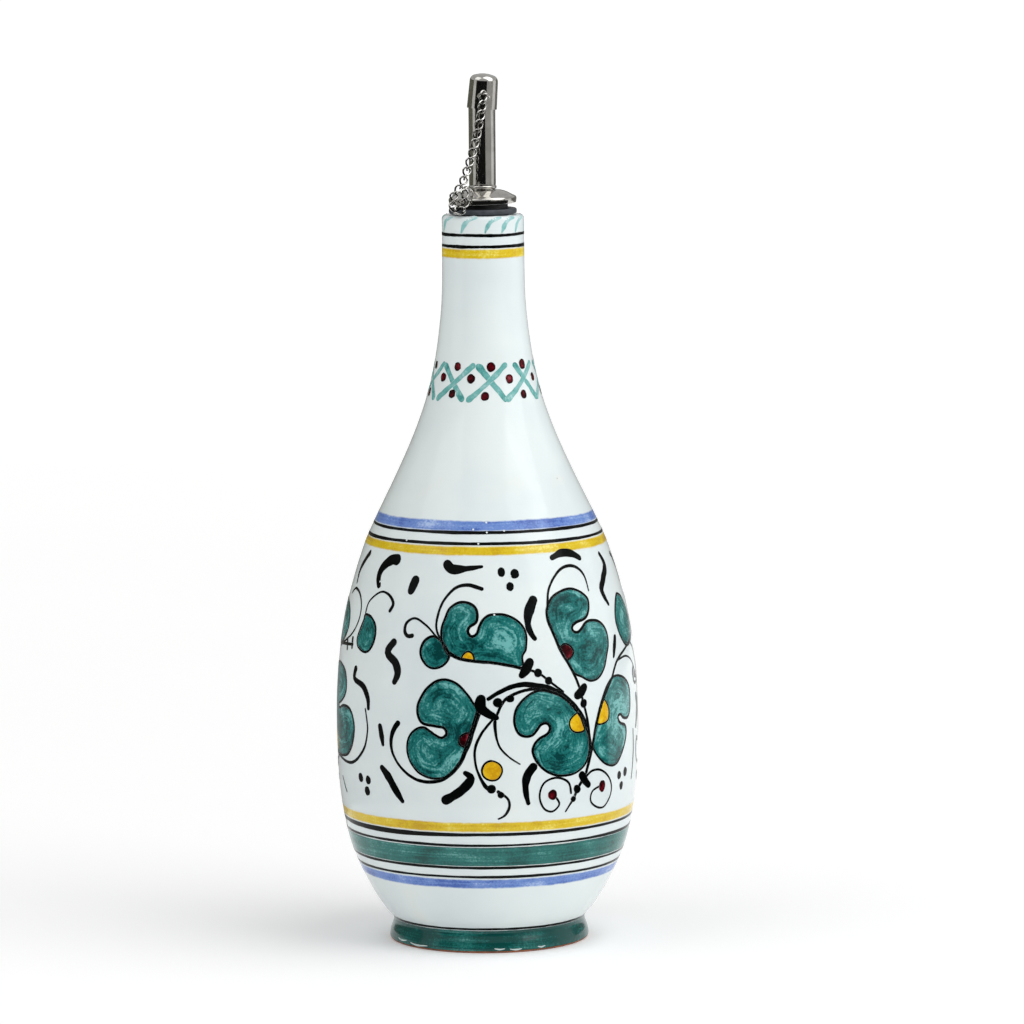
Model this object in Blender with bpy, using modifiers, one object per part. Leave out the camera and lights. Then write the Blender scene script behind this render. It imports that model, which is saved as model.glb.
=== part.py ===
"""Oil dispenser bottle: a turned, glazed earthenware bottle with a metal pourer in its mouth.

A rubber stopper sits in the mouth and carries a domed metal disc and a spout tube. A cap stands
loosely on the spout's tip, and a twisted-link chain ties it to an eye on the disc.

Metres, +Z up. The origin is the middle of the foot, where the bottle stands.
"""

import math

import bmesh
import bpy
from mathutils import Matrix, Vector

MM = 0.001
WELD = 0.000001

# Driving dimensions, in millimetres.
HEIGHT = 305.0
GAP = 0.3

# Bottle: its outer side as (height, radius), where the curve changes; the rest is a smooth curve.
FOOT_SIDE = [(1.2, 35.1), (3.4, 34.75), (5.4, 34.0), (7.1, 33.6), (8.5, 34.2)]
BODY_SIDE = [
    (11.0, 36.5), (17.0, 40.5), (25.5, 44.9), (34.0, 48.3), (42.5, 50.4), (55.0, 52.3),
    (72.0, 53.0), (88.0, 52.9), (104.0, 51.6), (118.0, 49.3), (130.0, 46.0), (141.0, 42.4),
]
NECK_SIDE = [
    (152.0, 37.4), (165.0, 31.1), (178.0, 25.3), (190.0, 20.9), (201.0, 18.0), (213.0, 16.0),
    (226.0, 14.7), (240.0, 14.4), (254.5, 14.35),
]
FOOT_EDGE = 1.2
MOUTH_TOP = 255.8
LIP_EDGE = 1.3
BORE_RADIUS = 9.3
BORE_DEPTH = 12.0
BORE_EDGE = 0.6

# Stopper: a plug in the bore, a fin that rests on the mouth, and a stem up to the metal disc.
PLUG_RADIUS = BORE_RADIUS - GAP
PLUG_DEPTH = 10.0
PLUG_CHAMFER = 1.0
FIN_RADIUS = 11.9
FIN_TOP = 258.0
FIN_FLAT = 0.6
STEM_RADIUS = 8.8
STEM_TOP = 259.3

# Domed disc.
DISC_RADIUS = 11.9
DISC_RIM = 2.6
DISC_TOP = 264.4
DISC_EDGE = 1.1
DISC_TILT = math.radians(1.6)
DISC_HOLE = 4.5
DISC_CHAMFER = 0.2

# Spout tube: its foot stands in the disc, with a bead just above the dome.
TUBE_RADIUS = 4.7
TUBE_FOOT_RADIUS = DISC_HOLE - GAP
TUBE_FOOT_BOTTOM = STEM_TOP + 1.2
BEAD_RADIUS = 4.95
BEAD_HEIGHT = 265.35
BEAD_HALF = 0.65
BEAD_FILLET = 0.5
TIP_RADIUS = 3.4
TUBE_SHOULDER = 293.6
SHOULDER_EDGE = 0.5
TIP_TOP = 301.5
TIP_EDGE = 0.6

# Cap: a thin cup with a rounded top. It hides the spout's shoulder and leans on its tip.
CAP_BOTTOM = 292.7
CAP_BOTTOM_RADIUS = 5.25
CAP_TOP_RADIUS = 4.95
CAP_EDGE = 2.3
CAP_CROWN = 0.5
CAP_WALL = 0.3
CAP_ROOF = 2.2
CAP_LEAN = math.radians(4.7)

# The lug on the cap's front: a bent wire with both feet in the wall.
LUG_WIRE = 0.64
LUG_HALF_WIDTH = 1.95
LUG_REACH = 1.65
LUG_RISE = 1.2
LUG_HEIGHT = 297.0
LUG_SIDE = 0.3

# Chain: twisted oval links. The eye stands a little back from and above the last hook.
LINK_WIRE = 0.52
LINK_LENGTH = 5.0
LINK_WIDTH = 3.1
LINK_PITCH = 3.4
LINK_TWIST = math.radians(45)
FACE_LIFT = 6.0
EYE_WIRE = 0.45
EYE_RADIUS = 1.9
EYE_BACK = 0.4
EYE_UP = 0.2

# The chain's middle line in (x, y, z): from the lug down the spout's front, over the disc's rim
# in a slack loop that rests on the mouth, and back up to the eye.
CHAIN_ROUTE = [
    (0.6, -6.6, 298.6), (0.0, -6.8, 292.8), (-1.4, -6.8, 285.8), (-3.0, -7.1, 278.9),
    (-5.1, -7.6, 272.3), (-7.2, -8.1, 266.4), (-9.3, -8.8, 264.6), (-10.2, -9.7, 262.2),
    (-10.5, -9.4, 259.7), (-9.9, -10.7, 257.7), (-8.4, -11.7, 257.2), (-6.7, -12.7, 258.1),
    (-5.7, -12.3, 260.2), (-6.1, -12.2, 263.0), (-6.3, -11.2, 264.8), (-5.8, -9.9, 265.3),
    (-4.7, -8.0, 265.1),
]

BOTTLE_SEGMENTS = 60
SMALL_SEGMENTS = 36
SPAN_STEP = 12.0
ROUTE_STEPS = 40
HARD_EDGE = math.radians(35)


def smooth_side(points, span_step):
    """The curve through (height, radius) points, with each slope taken from its two neighbours."""
    slopes = []
    for i in range(len(points)):
        low, high = points[max(i - 1, 0)], points[min(i + 1, len(points) - 1)]
        slopes.append((high[1] - low[1]) / (high[0] - low[0]))
    side = [points[0]]
    for (low, high), (slope_low, slope_high) in zip(
        zip(points, points[1:]), zip(slopes, slopes[1:])
    ):
        span = high[0] - low[0]
        steps = math.ceil(span / span_step)
        for k in range(1, steps + 1):
            t = k / steps
            radius = (
                (2 * t**3 - 3 * t**2 + 1) * low[1]
                + (t**3 - 2 * t**2 + t) * span * slope_low
                + (3 * t**2 - 2 * t**3) * high[1]
                + (t**3 - t**2) * span * slope_high
            )
            side.append((low[0] + t * span, radius))
    return side


def arc(centre_z, centre_r, radius, start, end, steps):
    """(height, radius) points on an arc; the angles are in degrees, 0 outwards and 90 up."""
    found = []
    for k in range(steps + 1):
        angle = math.radians(start + (end - start) * k / steps)
        found.append(
            (centre_z + radius * math.sin(angle), centre_r + radius * math.cos(angle))
        )
    return found


def material(name, colour, roughness, metallic=0.0):
    made = bpy.data.materials.new(name)
    made.use_nodes = True
    shader = made.node_tree.nodes["Principled BSDF"]
    shader.inputs["Base Color"].default_value = (*colour, 1.0)
    shader.inputs["Roughness"].default_value = roughness
    shader.inputs["Metallic"].default_value = metallic
    made.diffuse_color = (*colour, 1.0)
    return made


def named_object(name, data, finish, collection):
    made = bpy.data.objects.new(name, data)
    if not data.materials:
        data.materials.append(finish)
    collection.objects.link(made)
    return made


def turned(name, side, segments, finish, collection):
    """A solid of revolution about +Z. Its (height, radius) points run from top to bottom."""
    outline = bpy.data.meshes.new(name)
    points = [(radius * MM, 0.0, height * MM) for height, radius in side]
    outline.from_pydata(points, [(i, i + 1) for i in range(len(points) - 1)], [])
    made = named_object(name, outline, finish, collection)
    screw = made.modifiers.new("turn", "SCREW")
    screw.axis = "Z"
    screw.steps = segments
    screw.render_steps = segments
    screw.use_merge_vertices = True
    screw.merge_threshold = WELD / 10
    screw.use_smooth_shade = True
    return made


def applied(made):
    """Turns the object's modifiers into plain mesh, shaded smooth with its hard edges kept."""
    graph = bpy.context.evaluated_depsgraph_get()
    made.data = bpy.data.meshes.new_from_object(made.evaluated_get(graph))
    made.modifiers.clear()
    made.data.shade_smooth()
    made.data.set_sharp_from_angle(angle=HARD_EDGE)
    return made


def wire(name, points, thickness, closed, sides_resolution, finish, collection):
    """A round wire along points in millimetres."""
    curve = bpy.data.curves.new(name, "CURVE")
    curve.dimensions = "3D"
    curve.bevel_depth = thickness / 2 * MM
    curve.bevel_resolution = sides_resolution
    curve.use_fill_caps = not closed
    line = curve.splines.new("POLY")
    line.points.add(len(points) - 1)
    for place, point in zip(line.points, points):
        place.co = (*(value * MM for value in point), 1.0)
    line.use_cyclic_u = closed
    return named_object(name, curve, finish, collection)


def solid_of_wire(bend):
    """The wire as a plain closed mesh, its caps welded on. The curve is used up."""
    graph = bpy.context.evaluated_depsgraph_get()
    mesh = bpy.data.meshes.new_from_object(bend.evaluated_get(graph))
    bpy.data.objects.remove(bend)
    welded = bmesh.new()
    welded.from_mesh(mesh)
    bmesh.ops.remove_doubles(welded, verts=welded.verts, dist=WELD)
    welded.to_mesh(mesh)
    welded.free()
    return mesh


def fuse_wire(made, points, thickness, finish, helpers):
    """Joins a bent wire to a solid with a Boolean union."""
    mesh = solid_of_wire(wire("bend", points, thickness, False, 2, finish, helpers))
    piece = named_object("bend_piece", mesh, finish, helpers)
    piece.hide_render = True
    piece.display_type = "WIRE"
    union = made.modifiers.new("bend", "BOOLEAN")
    union.operation = "UNION"
    union.object = piece
    applied(made)


def turn_mesh(made, height, angle):
    """Turns a piece's mesh about the front-to-back line through the axis at this height."""
    about = Matrix.Translation((0, 0, height * MM))
    made.data.transform(about @ Matrix.Rotation(angle, 4, "Y") @ about.inverted())


def bottle(finish, collection):
    lip = arc(NECK_SIDE[-1][0], NECK_SIDE[-1][1] - LIP_EDGE, LIP_EDGE, 90, 0, 5)
    side = smooth_side(FOOT_SIDE + BODY_SIDE + NECK_SIDE, SPAN_STEP)
    foot = arc(FOOT_EDGE, FOOT_SIDE[0][1] - FOOT_EDGE, FOOT_EDGE, 0, -90, 4)
    bore_edge = arc(MOUTH_TOP - BORE_EDGE, BORE_RADIUS + BORE_EDGE, BORE_EDGE, 180, 90, 3)
    bore_floor = MOUTH_TOP - BORE_DEPTH
    outline = [(bore_floor, 0.0), (bore_floor, BORE_RADIUS)]
    outline += bore_edge + lip[:-1] + side[::-1][:-1] + foot + [(0.0, 0.0)]
    return applied(turned("bottle", outline, BOTTLE_SEGMENTS, finish, collection))


def stopper(finish, collection):
    fin_bottom = MOUTH_TOP + GAP
    edge = (FIN_TOP - fin_bottom - FIN_FLAT) / 2
    plug_bottom = MOUTH_TOP - PLUG_DEPTH
    outline = [(STEM_TOP, 0.0), (STEM_TOP, STEM_RADIUS), (FIN_TOP, STEM_RADIUS)]
    outline += arc(FIN_TOP - edge, FIN_RADIUS - edge, edge, 90, 0, 3)
    outline += arc(fin_bottom + edge, FIN_RADIUS - edge, edge, 0, -90, 3)
    outline += [(fin_bottom, PLUG_RADIUS), (plug_bottom + PLUG_CHAMFER, PLUG_RADIUS)]
    outline += [(plug_bottom, PLUG_RADIUS - PLUG_CHAMFER), (plug_bottom, 0.0)]
    return applied(turned("stopper", outline, SMALL_SEGMENTS, finish, collection))


def dome_height(radius):
    """The top of the disc's dome at this distance from the axis."""
    rim_top = STEM_TOP + GAP + DISC_RIM
    share = (radius - DISC_HOLE) / (DISC_RADIUS - DISC_EDGE - DISC_HOLE)
    return rim_top + (DISC_TOP - rim_top) * (1 - share**2)


def eye_points(link_start, link_end):
    """The eye's line: a half ring across the chain's last link, with its feet in the dome."""
    back = Vector((link_start.x - link_end.x, link_start.y - link_end.y, 0)).normalized()
    sideways = Vector((-back.y, back.x, 0))
    apex = link_end + EYE_BACK * back + Vector((0, 0, EYE_UP))
    foot = dome_height(math.hypot(apex.x, apex.y)) - 0.5
    points = [apex - EYE_RADIUS * sideways + Vector((0, 0, foot - apex.z))]
    steps = 8
    for k in range(steps + 1):
        angle = math.pi * k / steps
        rise = Vector((0, 0, EYE_RADIUS * (math.sin(angle) - 1)))
        points.append(apex - EYE_RADIUS * math.cos(angle) * sideways + rise)
    points.append(apex + EYE_RADIUS * sideways + Vector((0, 0, foot - apex.z)))
    return points


def pourer_disc(link_start, link_end, finish, collection, helpers):
    bottom = STEM_TOP + GAP
    rim_top = bottom + DISC_RIM
    shoulder_radius = DISC_RADIUS - DISC_EDGE
    outline = []
    for k in range(6):
        radius = DISC_HOLE + (shoulder_radius - DISC_HOLE) * k / 6
        outline.append((dome_height(radius), radius))
    outline += arc(rim_top - DISC_EDGE, shoulder_radius, DISC_EDGE, 80, 0, 4)
    outline += [(bottom + DISC_CHAMFER, DISC_RADIUS), (bottom, DISC_RADIUS - DISC_CHAMFER)]
    outline += [(bottom, DISC_HOLE)]
    outline.append(outline[0])
    made = applied(turned("pourer_disc", outline, SMALL_SEGMENTS, finish, collection))
    turn_mesh(made, bottom, -DISC_TILT)
    fuse_wire(made, eye_points(link_start, link_end), EYE_WIRE, finish, helpers)
    return made


def spout_tube(finish, collection):
    outline = [(TIP_TOP, 0.0)]
    outline += arc(TIP_TOP - TIP_EDGE, TIP_RADIUS - TIP_EDGE, TIP_EDGE, 90, 0, 3)
    outline += [(TUBE_SHOULDER, TIP_RADIUS)]
    outline += arc(
        TUBE_SHOULDER - SHOULDER_EDGE, TUBE_RADIUS - SHOULDER_EDGE, SHOULDER_EDGE, 90, 0, 3
    )
    outline += [(BEAD_HEIGHT + BEAD_HALF + BEAD_FILLET, TUBE_RADIUS)]
    outline += arc(BEAD_HEIGHT, BEAD_RADIUS - BEAD_HALF, BEAD_HALF, 60, -90, 6)
    outline += [(BEAD_HEIGHT - BEAD_HALF, TUBE_FOOT_RADIUS)]
    outline += [(TUBE_FOOT_BOTTOM, TUBE_FOOT_RADIUS), (TUBE_FOOT_BOTTOM, 0.0)]
    return applied(turned("spout_tube", outline, SMALL_SEGMENTS, finish, collection))


def lug_points():
    """The bent wire's line: a half ring that stands out from the cap's front and rises."""
    wall = CAP_BOTTOM_RADIUS - CAP_WALL / 2
    points = []
    steps = 10
    for k in range(steps + 1):
        angle = math.pi * k / steps
        out = math.sin(angle)
        x = LUG_SIDE - LUG_HALF_WIDTH * math.cos(angle)
        foot_y = -math.sqrt(wall**2 - (x - LUG_SIDE) ** 2)
        points.append((x, foot_y - LUG_REACH * out, LUG_HEIGHT + LUG_RISE * out))
    return points


def cap(finish, collection, helpers):
    inner_top = HEIGHT - CAP_ROOF
    outline = [(HEIGHT, 0.0), (HEIGHT - CAP_CROWN / 3, CAP_TOP_RADIUS / 3)]
    outline += arc(
        HEIGHT - CAP_CROWN - CAP_EDGE, CAP_TOP_RADIUS - CAP_EDGE, CAP_EDGE, 78, 0, 6
    )
    outline += [(CAP_BOTTOM, CAP_BOTTOM_RADIUS), (CAP_BOTTOM, CAP_BOTTOM_RADIUS - CAP_WALL)]
    outline += [(inner_top, CAP_TOP_RADIUS - CAP_WALL), (inner_top, 0.0)]
    made = applied(turned("cap", outline, SMALL_SEGMENTS, finish, collection))
    fuse_wire(made, lug_points(), LUG_WIRE, finish, helpers)
    turn_mesh(made, CAP_BOTTOM, CAP_LEAN)
    return made


def link_mesh(finish, helpers):
    """One link about the origin, its length along Z: an oval whose two ends turn apart."""
    end_radius = (LINK_WIDTH - LINK_WIRE) / 2
    end_centre = (LINK_LENGTH - LINK_WIRE) / 2 - end_radius
    points = []
    for end in (1, -1):
        for k in range(5):
            angle = math.pi * k / 4
            across = end * end_radius * math.cos(angle)
            along = end * (end_centre + end_radius * math.sin(angle))
            twist = end * LINK_TWIST
            points.append((across * math.cos(twist), across * math.sin(twist), along))
        points.append((-end * end_radius, 0.0, 0.0))
    mesh = solid_of_wire(wire("link_pattern", points, LINK_WIRE, True, 1, finish, helpers))
    mesh.name = "chain_link"
    mesh.shade_smooth()
    return mesh


def curve_points(route, steps):
    """A smooth curve through the route's points, as many short steps for each of its spans."""
    points = [Vector(point) for point in route]
    found = [points[0]]
    for i in range(len(points) - 1):
        before = points[max(i - 1, 0)]
        start, end = points[i], points[i + 1]
        after = points[min(i + 2, len(points) - 1)]
        slope_start, slope_end = (end - before) / 2, (after - start) / 2
        for k in range(1, steps + 1):
            t = k / steps
            found.append(
                (2 * t**3 - 3 * t**2 + 1) * start
                + (t**3 - 2 * t**2 + t) * slope_start
                + (3 * t**2 - 2 * t**3) * end
                + (t**3 - t**2) * slope_end
            )
    return found


def hooks(route, pitch):
    """Where neighbouring links meet: points along the route, one straight pitch apart."""
    found = [Vector(route[0])]
    for point in curve_points(route, ROUTE_STEPS):
        if (point - found[-1]).length >= pitch:
            found.append(found[-1] + (point - found[-1]).normalized() * pitch)
    return found


def chain(places, finish, collection, helpers):
    """Each link faces away from a point on the axis that lies FACE_LIFT below it."""
    mesh = link_mesh(finish, helpers)
    for number, (start, end) in enumerate(zip(places, places[1:]), 1):
        along = (start - end).normalized()
        middle = (start + end) / 2
        outward = Vector((middle.x, middle.y, FACE_LIFT))
        face = (outward - outward.dot(along) * along).normalized()
        across = face.cross(along)
        link = named_object(f"chain_link_{number:02d}", mesh, finish, collection)
        turn = Matrix((across, face, along)).transposed().to_4x4()
        link.matrix_world = Matrix.Translation(middle * MM) @ turn


def main():
    for old in list(bpy.data.objects):
        bpy.data.objects.remove(old)
    collection = bpy.data.collections.new("oil_dispenser_bottle")
    helpers = bpy.data.collections.new("helpers")
    for group in (collection, helpers):
        bpy.context.scene.collection.children.link(group)
    glaze = material("white_glaze", (0.74, 0.78, 0.78), 0.12)
    rubber = material("black_rubber", (0.03, 0.033, 0.037), 0.5)
    steel = material("polished_steel", (0.62, 0.61, 0.58), 0.08, metallic=1.0)
    chain_steel = material("chain_steel", (0.45, 0.45, 0.43), 0.2, metallic=1.0)
    bottle(glaze, collection)
    stopper(rubber, collection)
    places = hooks(CHAIN_ROUTE, LINK_PITCH)
    pourer_disc(places[-2], places[-1], steel, collection, helpers)
    spout_tube(steel, collection)
    cap(steel, collection, helpers)
    chain(places, chain_steel, collection, helpers)


main()
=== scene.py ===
"""Looks for the oil dispenser bottle: brush-painted earthenware under a clear glaze, with a
polished pourer and its fine chain.

Lengths are in millimetres until a vertex is placed. A place on the glaze is a pair: degrees
round from the front, positive to the right, and the height above the table.
"""

import bisect
import math
import random

import bmesh
import bpy
from mathutils import Matrix, Vector, noise


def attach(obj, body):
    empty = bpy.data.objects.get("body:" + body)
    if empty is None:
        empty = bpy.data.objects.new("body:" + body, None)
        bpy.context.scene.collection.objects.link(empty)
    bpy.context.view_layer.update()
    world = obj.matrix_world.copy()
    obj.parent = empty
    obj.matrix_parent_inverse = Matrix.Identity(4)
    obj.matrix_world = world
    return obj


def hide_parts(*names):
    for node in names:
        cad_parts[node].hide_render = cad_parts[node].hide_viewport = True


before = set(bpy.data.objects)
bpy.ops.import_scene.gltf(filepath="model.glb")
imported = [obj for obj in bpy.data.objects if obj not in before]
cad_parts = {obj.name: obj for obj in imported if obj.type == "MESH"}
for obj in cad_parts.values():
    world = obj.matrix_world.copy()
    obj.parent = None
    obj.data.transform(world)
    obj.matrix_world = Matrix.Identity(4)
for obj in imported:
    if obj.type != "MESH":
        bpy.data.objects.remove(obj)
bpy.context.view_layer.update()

MM = 0.001
WELD = 0.000001

# The frame's own dimensions, repeated so that each finer piece keeps its solid's form.
FOOT_SIDE = [(1.2, 35.1), (3.4, 34.75), (5.4, 34.0), (7.1, 33.6), (8.5, 34.2)]
BODY_SIDE = [
    (11.0, 36.5), (17.0, 40.5), (25.5, 44.9), (34.0, 48.3), (42.5, 50.4), (55.0, 52.3),
    (72.0, 53.0), (88.0, 52.9), (104.0, 51.6), (118.0, 49.3), (130.0, 46.0), (141.0, 42.4),
]
NECK_SIDE = [
    (152.0, 37.4), (165.0, 31.1), (178.0, 25.3), (190.0, 20.9), (201.0, 18.0), (213.0, 16.0),
    (226.0, 14.7), (240.0, 14.4), (254.5, 14.35),
]
HEIGHT = 305.0
GAP = 0.3
FOOT_EDGE = 1.2
MOUTH_TOP = 255.8
LIP_EDGE = 1.3
BORE_RADIUS = 9.3
BORE_DEPTH = 12.0
BORE_EDGE = 0.6

PLUG_RADIUS = BORE_RADIUS - GAP
PLUG_DEPTH = 10.0
PLUG_CHAMFER = 1.0
FIN_RADIUS = 11.9
FIN_TOP = 258.0
FIN_FLAT = 0.6
STEM_RADIUS = 8.8
STEM_TOP = 259.3

DISC_RADIUS = 11.9
DISC_RIM = 2.6
DISC_TOP = 264.4
DISC_EDGE = 1.1
DISC_ROLL = 0.25
DISC_UNDERCUT = 9
DISC_TILT = math.radians(1.6)
DISC_HOLE = 4.5

TUBE_RADIUS = 4.7
TUBE_FOOT_RADIUS = DISC_HOLE - GAP
TUBE_FOOT_BOTTOM = STEM_TOP + 1.2
BEAD_RADIUS = 4.95
BEAD_HEIGHT = 265.35
BEAD_HALF = 0.65
BEAD_FILLET = 0.5
TIP_RADIUS = 3.4
TUBE_SHOULDER = 293.6
SHOULDER_EDGE = 0.5
TIP_TOP = 301.5
TIP_EDGE = 0.6

CAP_BOTTOM = 292.7
CAP_BOTTOM_RADIUS = 5.25
CAP_TOP_RADIUS = 4.95
CAP_EDGE = 2.3
CAP_CROWN = 0.5
CAP_WALL = 0.3
CAP_ROOF = 2.2
CAP_LEAN = math.radians(4.7)
LUG_WIRE = 0.64
LUG_HALF_WIDTH = 1.95
LUG_REACH = 1.65
LUG_RISE = 1.2
LUG_HEIGHT = 297.0
LUG_SIDE = 0.3

LINK_WIRE = 0.52
LINK_LENGTH = 5.0
LINK_WIDTH = 3.1
LINK_PITCH = 3.4
LINK_TWIST = math.radians(45)
FACE_LIFT = 6.0
EYE_WIRE = 0.45
EYE_RADIUS = 1.9
EYE_BACK = 0.4
EYE_UP = 0.2
ROUTE_STEPS = 40
WIRE_PLATING = 0.16
CHAIN_ROUTE = [
    (0.6, -6.6, 298.6), (0.0, -6.8, 292.8), (-1.4, -6.8, 285.8), (-3.0, -7.1, 278.9),
    (-5.1, -7.6, 272.3), (-7.2, -8.1, 266.4), (-9.3, -8.8, 264.6), (-10.2, -9.7, 262.2),
    (-10.5, -9.4, 259.7), (-9.9, -10.7, 257.7), (-8.4, -11.7, 257.2), (-6.7, -12.7, 258.1),
    (-5.7, -12.3, 260.2), (-6.1, -12.2, 263.0), (-6.3, -11.2, 264.8), (-5.8, -9.9, 265.3),
    (-4.7, -8.0, 265.1),
]

# How finely the shown pieces are made.
BOTTLE_SEGMENTS = 192
SMALL_SEGMENTS = 96
SIDE_STEP = 1.3
HARD_EDGE = math.radians(35)
LEAN_REACH = 0.2

# The paint: how far each film stands off the glaze, and how finely it is laid.
FILM_BODY = 0.03
FILL_LIFT = 0.035
DOT_LIFT = 0.05
LINE_LIFT = 0.065
KNOT_LIFT = 0.085
RING_STEPS = 360
BAND_ROWS = 6
STROKE_ROWS = 4
STROKE_STEP = 0.6
FEWEST_STEPS = 10
PATCH_STEP = 1.6
PATCH_EDGE = 0.45
CUT_MARGIN = 0.0001
DOT_POINTS = 14
DOT_WAVE = 0.16
PLANE_SCALE = 0.9
HEADING_REACH = 0.3
NARROWEST = 0.01
LINE_GAIN = 1.25
INK_SPREAD = 0.07
SWIRL_STEP = 0.011
SWIRL_ASTRAY = 5.0
ROW_HEIGHT = 0.45
CLAY_TOP = 0.8
CLAY_LIFT = 0.07
CLAY_BODY = 0.3

# The photograph's camera.
PHOTO_SIZE = 1024
FOCAL_PIXELS = 6200
SENSOR = 36.0
CAMERA_PLACE = (0.0093, -2.1643, 0.4055)
CAMERA_PITCH = math.radians(6.71)
CAMERA_ROLL = math.radians(0.5)


# Shapes

def between(t, start, slope_start, end, slope_end):
    """The smooth cubic from start to end, at t from 0 to 1; the slopes are for the whole span."""
    return (
        (2 * t**3 - 3 * t**2 + 1) * start
        + (t**3 - 2 * t**2 + t) * slope_start
        + (3 * t**2 - 2 * t**3) * end
        + (t**3 - t**2) * slope_end
    )


def smooth_side(points, span_step):
    """The curve through (height, radius) points, with each slope taken from its neighbours."""
    slopes = []
    for i in range(len(points)):
        low, high = points[max(i - 1, 0)], points[min(i + 1, len(points) - 1)]
        slopes.append((high[1] - low[1]) / (high[0] - low[0]))
    side = [points[0]]
    for (low, high), (slope_low, slope_high) in zip(zip(points, points[1:]), zip(slopes, slopes[1:])):
        span = high[0] - low[0]
        steps = math.ceil(span / span_step)
        for k in range(1, steps + 1):
            t = k / steps
            radius = between(t, low[1], span * slope_low, high[1], span * slope_high)
            side.append((low[0] + t * span, radius))
    return side


def arc(centre_z, centre_r, radius, start, end, steps):
    """(height, radius) points on an arc; the angles are in degrees, 0 outwards and 90 up."""
    found = []
    for k in range(steps + 1):
        angle = math.radians(start + (end - start) * k / steps)
        found.append((centre_z + radius * math.sin(angle), centre_r + radius * math.cos(angle)))
    return found


def curve_points(route, steps, closed=False):
    """A smooth curve through the route's points, as many short steps for each of its spans."""
    points = [Vector(point) for point in route]
    count = len(points)
    found = [points[0]]
    for i in range(count if closed else count - 1):
        if closed:
            before, start, end, after = (points[(i + k) % count] for k in (-1, 0, 1, 2))
        else:
            before, start, end = points[max(i - 1, 0)], points[i], points[i + 1]
            after = points[min(i + 2, count - 1)]
        slope_start, slope_end = (end - before) / 2, (after - start) / 2
        for k in range(1, steps + 1):
            found.append(between(k / steps, start, slope_start, end, slope_end))
    return found[:-1] if closed else found


FOOT_ARC = arc(FOOT_EDGE, FOOT_SIDE[0][1] - FOOT_EDGE, FOOT_EDGE, start=-90, end=0, steps=8)
LIP_ARC = arc(NECK_SIDE[-1][0], NECK_SIDE[-1][1] - LIP_EDGE, LIP_EDGE, start=0, end=90, steps=10)
SIDE = FOOT_ARC[:-1] + smooth_side(FOOT_SIDE + BODY_SIDE + NECK_SIDE, SIDE_STEP) + LIP_ARC[1:]
SIDE_HEIGHTS = [height for height, radius in SIDE]


def side_radius(height):
    """The bottle's outer radius at a height."""
    place = min(max(bisect.bisect_left(SIDE_HEIGHTS, height), 1), len(SIDE) - 1)
    (low, low_radius), (high, high_radius) = SIDE[place - 1], SIDE[place]
    share = (height - low) / (high - low)
    return low_radius + (high_radius - low_radius) * min(max(share, 0.0), 1.0)


def on_glaze(degrees, height, lift=0.0):
    """A point this far off the glaze, in metres."""
    drop = side_radius(height - LEAN_REACH) - side_radius(height + LEAN_REACH)
    lean = math.atan2(drop, 2 * LEAN_REACH)
    radius = side_radius(height) + lift * math.cos(lean)
    angle = math.radians(degrees)
    place = (radius * math.sin(angle), -radius * math.cos(angle), height + lift * math.sin(lean))
    return MM * Vector(place)


def spin_line(shape, points, steps):
    """Turns a line of points right round the upright axis into faces."""
    line = [shape.verts.new(point) for point in points]
    edges = [shape.edges.new(pair) for pair in zip(line, line[1:])]
    full = {"cent": (0, 0, 0), "axis": (0, 0, 1), "angle": 2 * math.pi, "use_merge": True}
    bmesh.ops.spin(shape, geom=line + edges, steps=steps, **full)


def turned(outline, segments):
    """A shape of revolution about the upright axis from (height, radius) points."""
    shape = bmesh.new()
    spin_line(shape, [(radius * MM, 0, height * MM) for height, radius in outline], segments)
    bmesh.ops.remove_doubles(shape, verts=shape.verts, dist=WELD)
    bmesh.ops.recalc_face_normals(shape, faces=shape.faces)
    return shape


def new_object(name, shape, finish):
    mesh = bpy.data.meshes.new(name)
    shape.to_mesh(mesh)
    shape.free()
    mesh.materials.append(finish)
    made = bpy.data.objects.new(name, mesh)
    bpy.context.scene.collection.objects.link(made)
    return made


def piece(name, shape, finish, replaced=()):
    """The finished object: it rides on the root body."""
    made = new_object(name, shape, finish)
    made.data.shade_smooth()
    made.data.set_sharp_from_angle(angle=HARD_EDGE)
    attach(made, "root")
    if replaced:
        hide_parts(*replaced)


def wire_shape(points, thickness, closed, resolution):
    """A round wire along points in millimetres, as a closed shape."""
    curve = bpy.data.curves.new("wire", "CURVE")
    curve.dimensions = "3D"
    curve.bevel_depth = thickness / 2 * MM
    curve.bevel_resolution = resolution
    curve.use_fill_caps = not closed
    line = curve.splines.new("POLY")
    line.points.add(len(points) - 1)
    for place, point in zip(line.points, points):
        place.co = (*(value * MM for value in point), 1.0)
    line.use_cyclic_u = closed
    holder = bpy.data.objects.new("wire", curve)
    bpy.context.scene.collection.objects.link(holder)
    graph = bpy.context.evaluated_depsgraph_get()
    mesh = bpy.data.meshes.new_from_object(holder.evaluated_get(graph))
    bpy.data.objects.remove(holder)
    bpy.data.curves.remove(curve)
    shape = bmesh.new()
    shape.from_mesh(mesh)
    bpy.data.meshes.remove(mesh)
    bmesh.ops.remove_doubles(shape, verts=shape.verts, dist=WELD)
    return shape


def add_shape(whole, part):
    """Puts one shape into another and uses it up."""
    mesh = bpy.data.meshes.new("part")
    part.to_mesh(mesh)
    part.free()
    whole.from_mesh(mesh)
    bpy.data.meshes.remove(mesh)


def turn_shape(shape, height, angle):
    """Turns a shape about the front-to-back line through the axis at this height."""
    about = Matrix.Translation((0, 0, height * MM))
    turn = about @ Matrix.Rotation(angle, 4, "Y") @ about.inverted()
    bmesh.ops.transform(shape, matrix=turn, verts=shape.verts)


# Shader helpers

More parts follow.
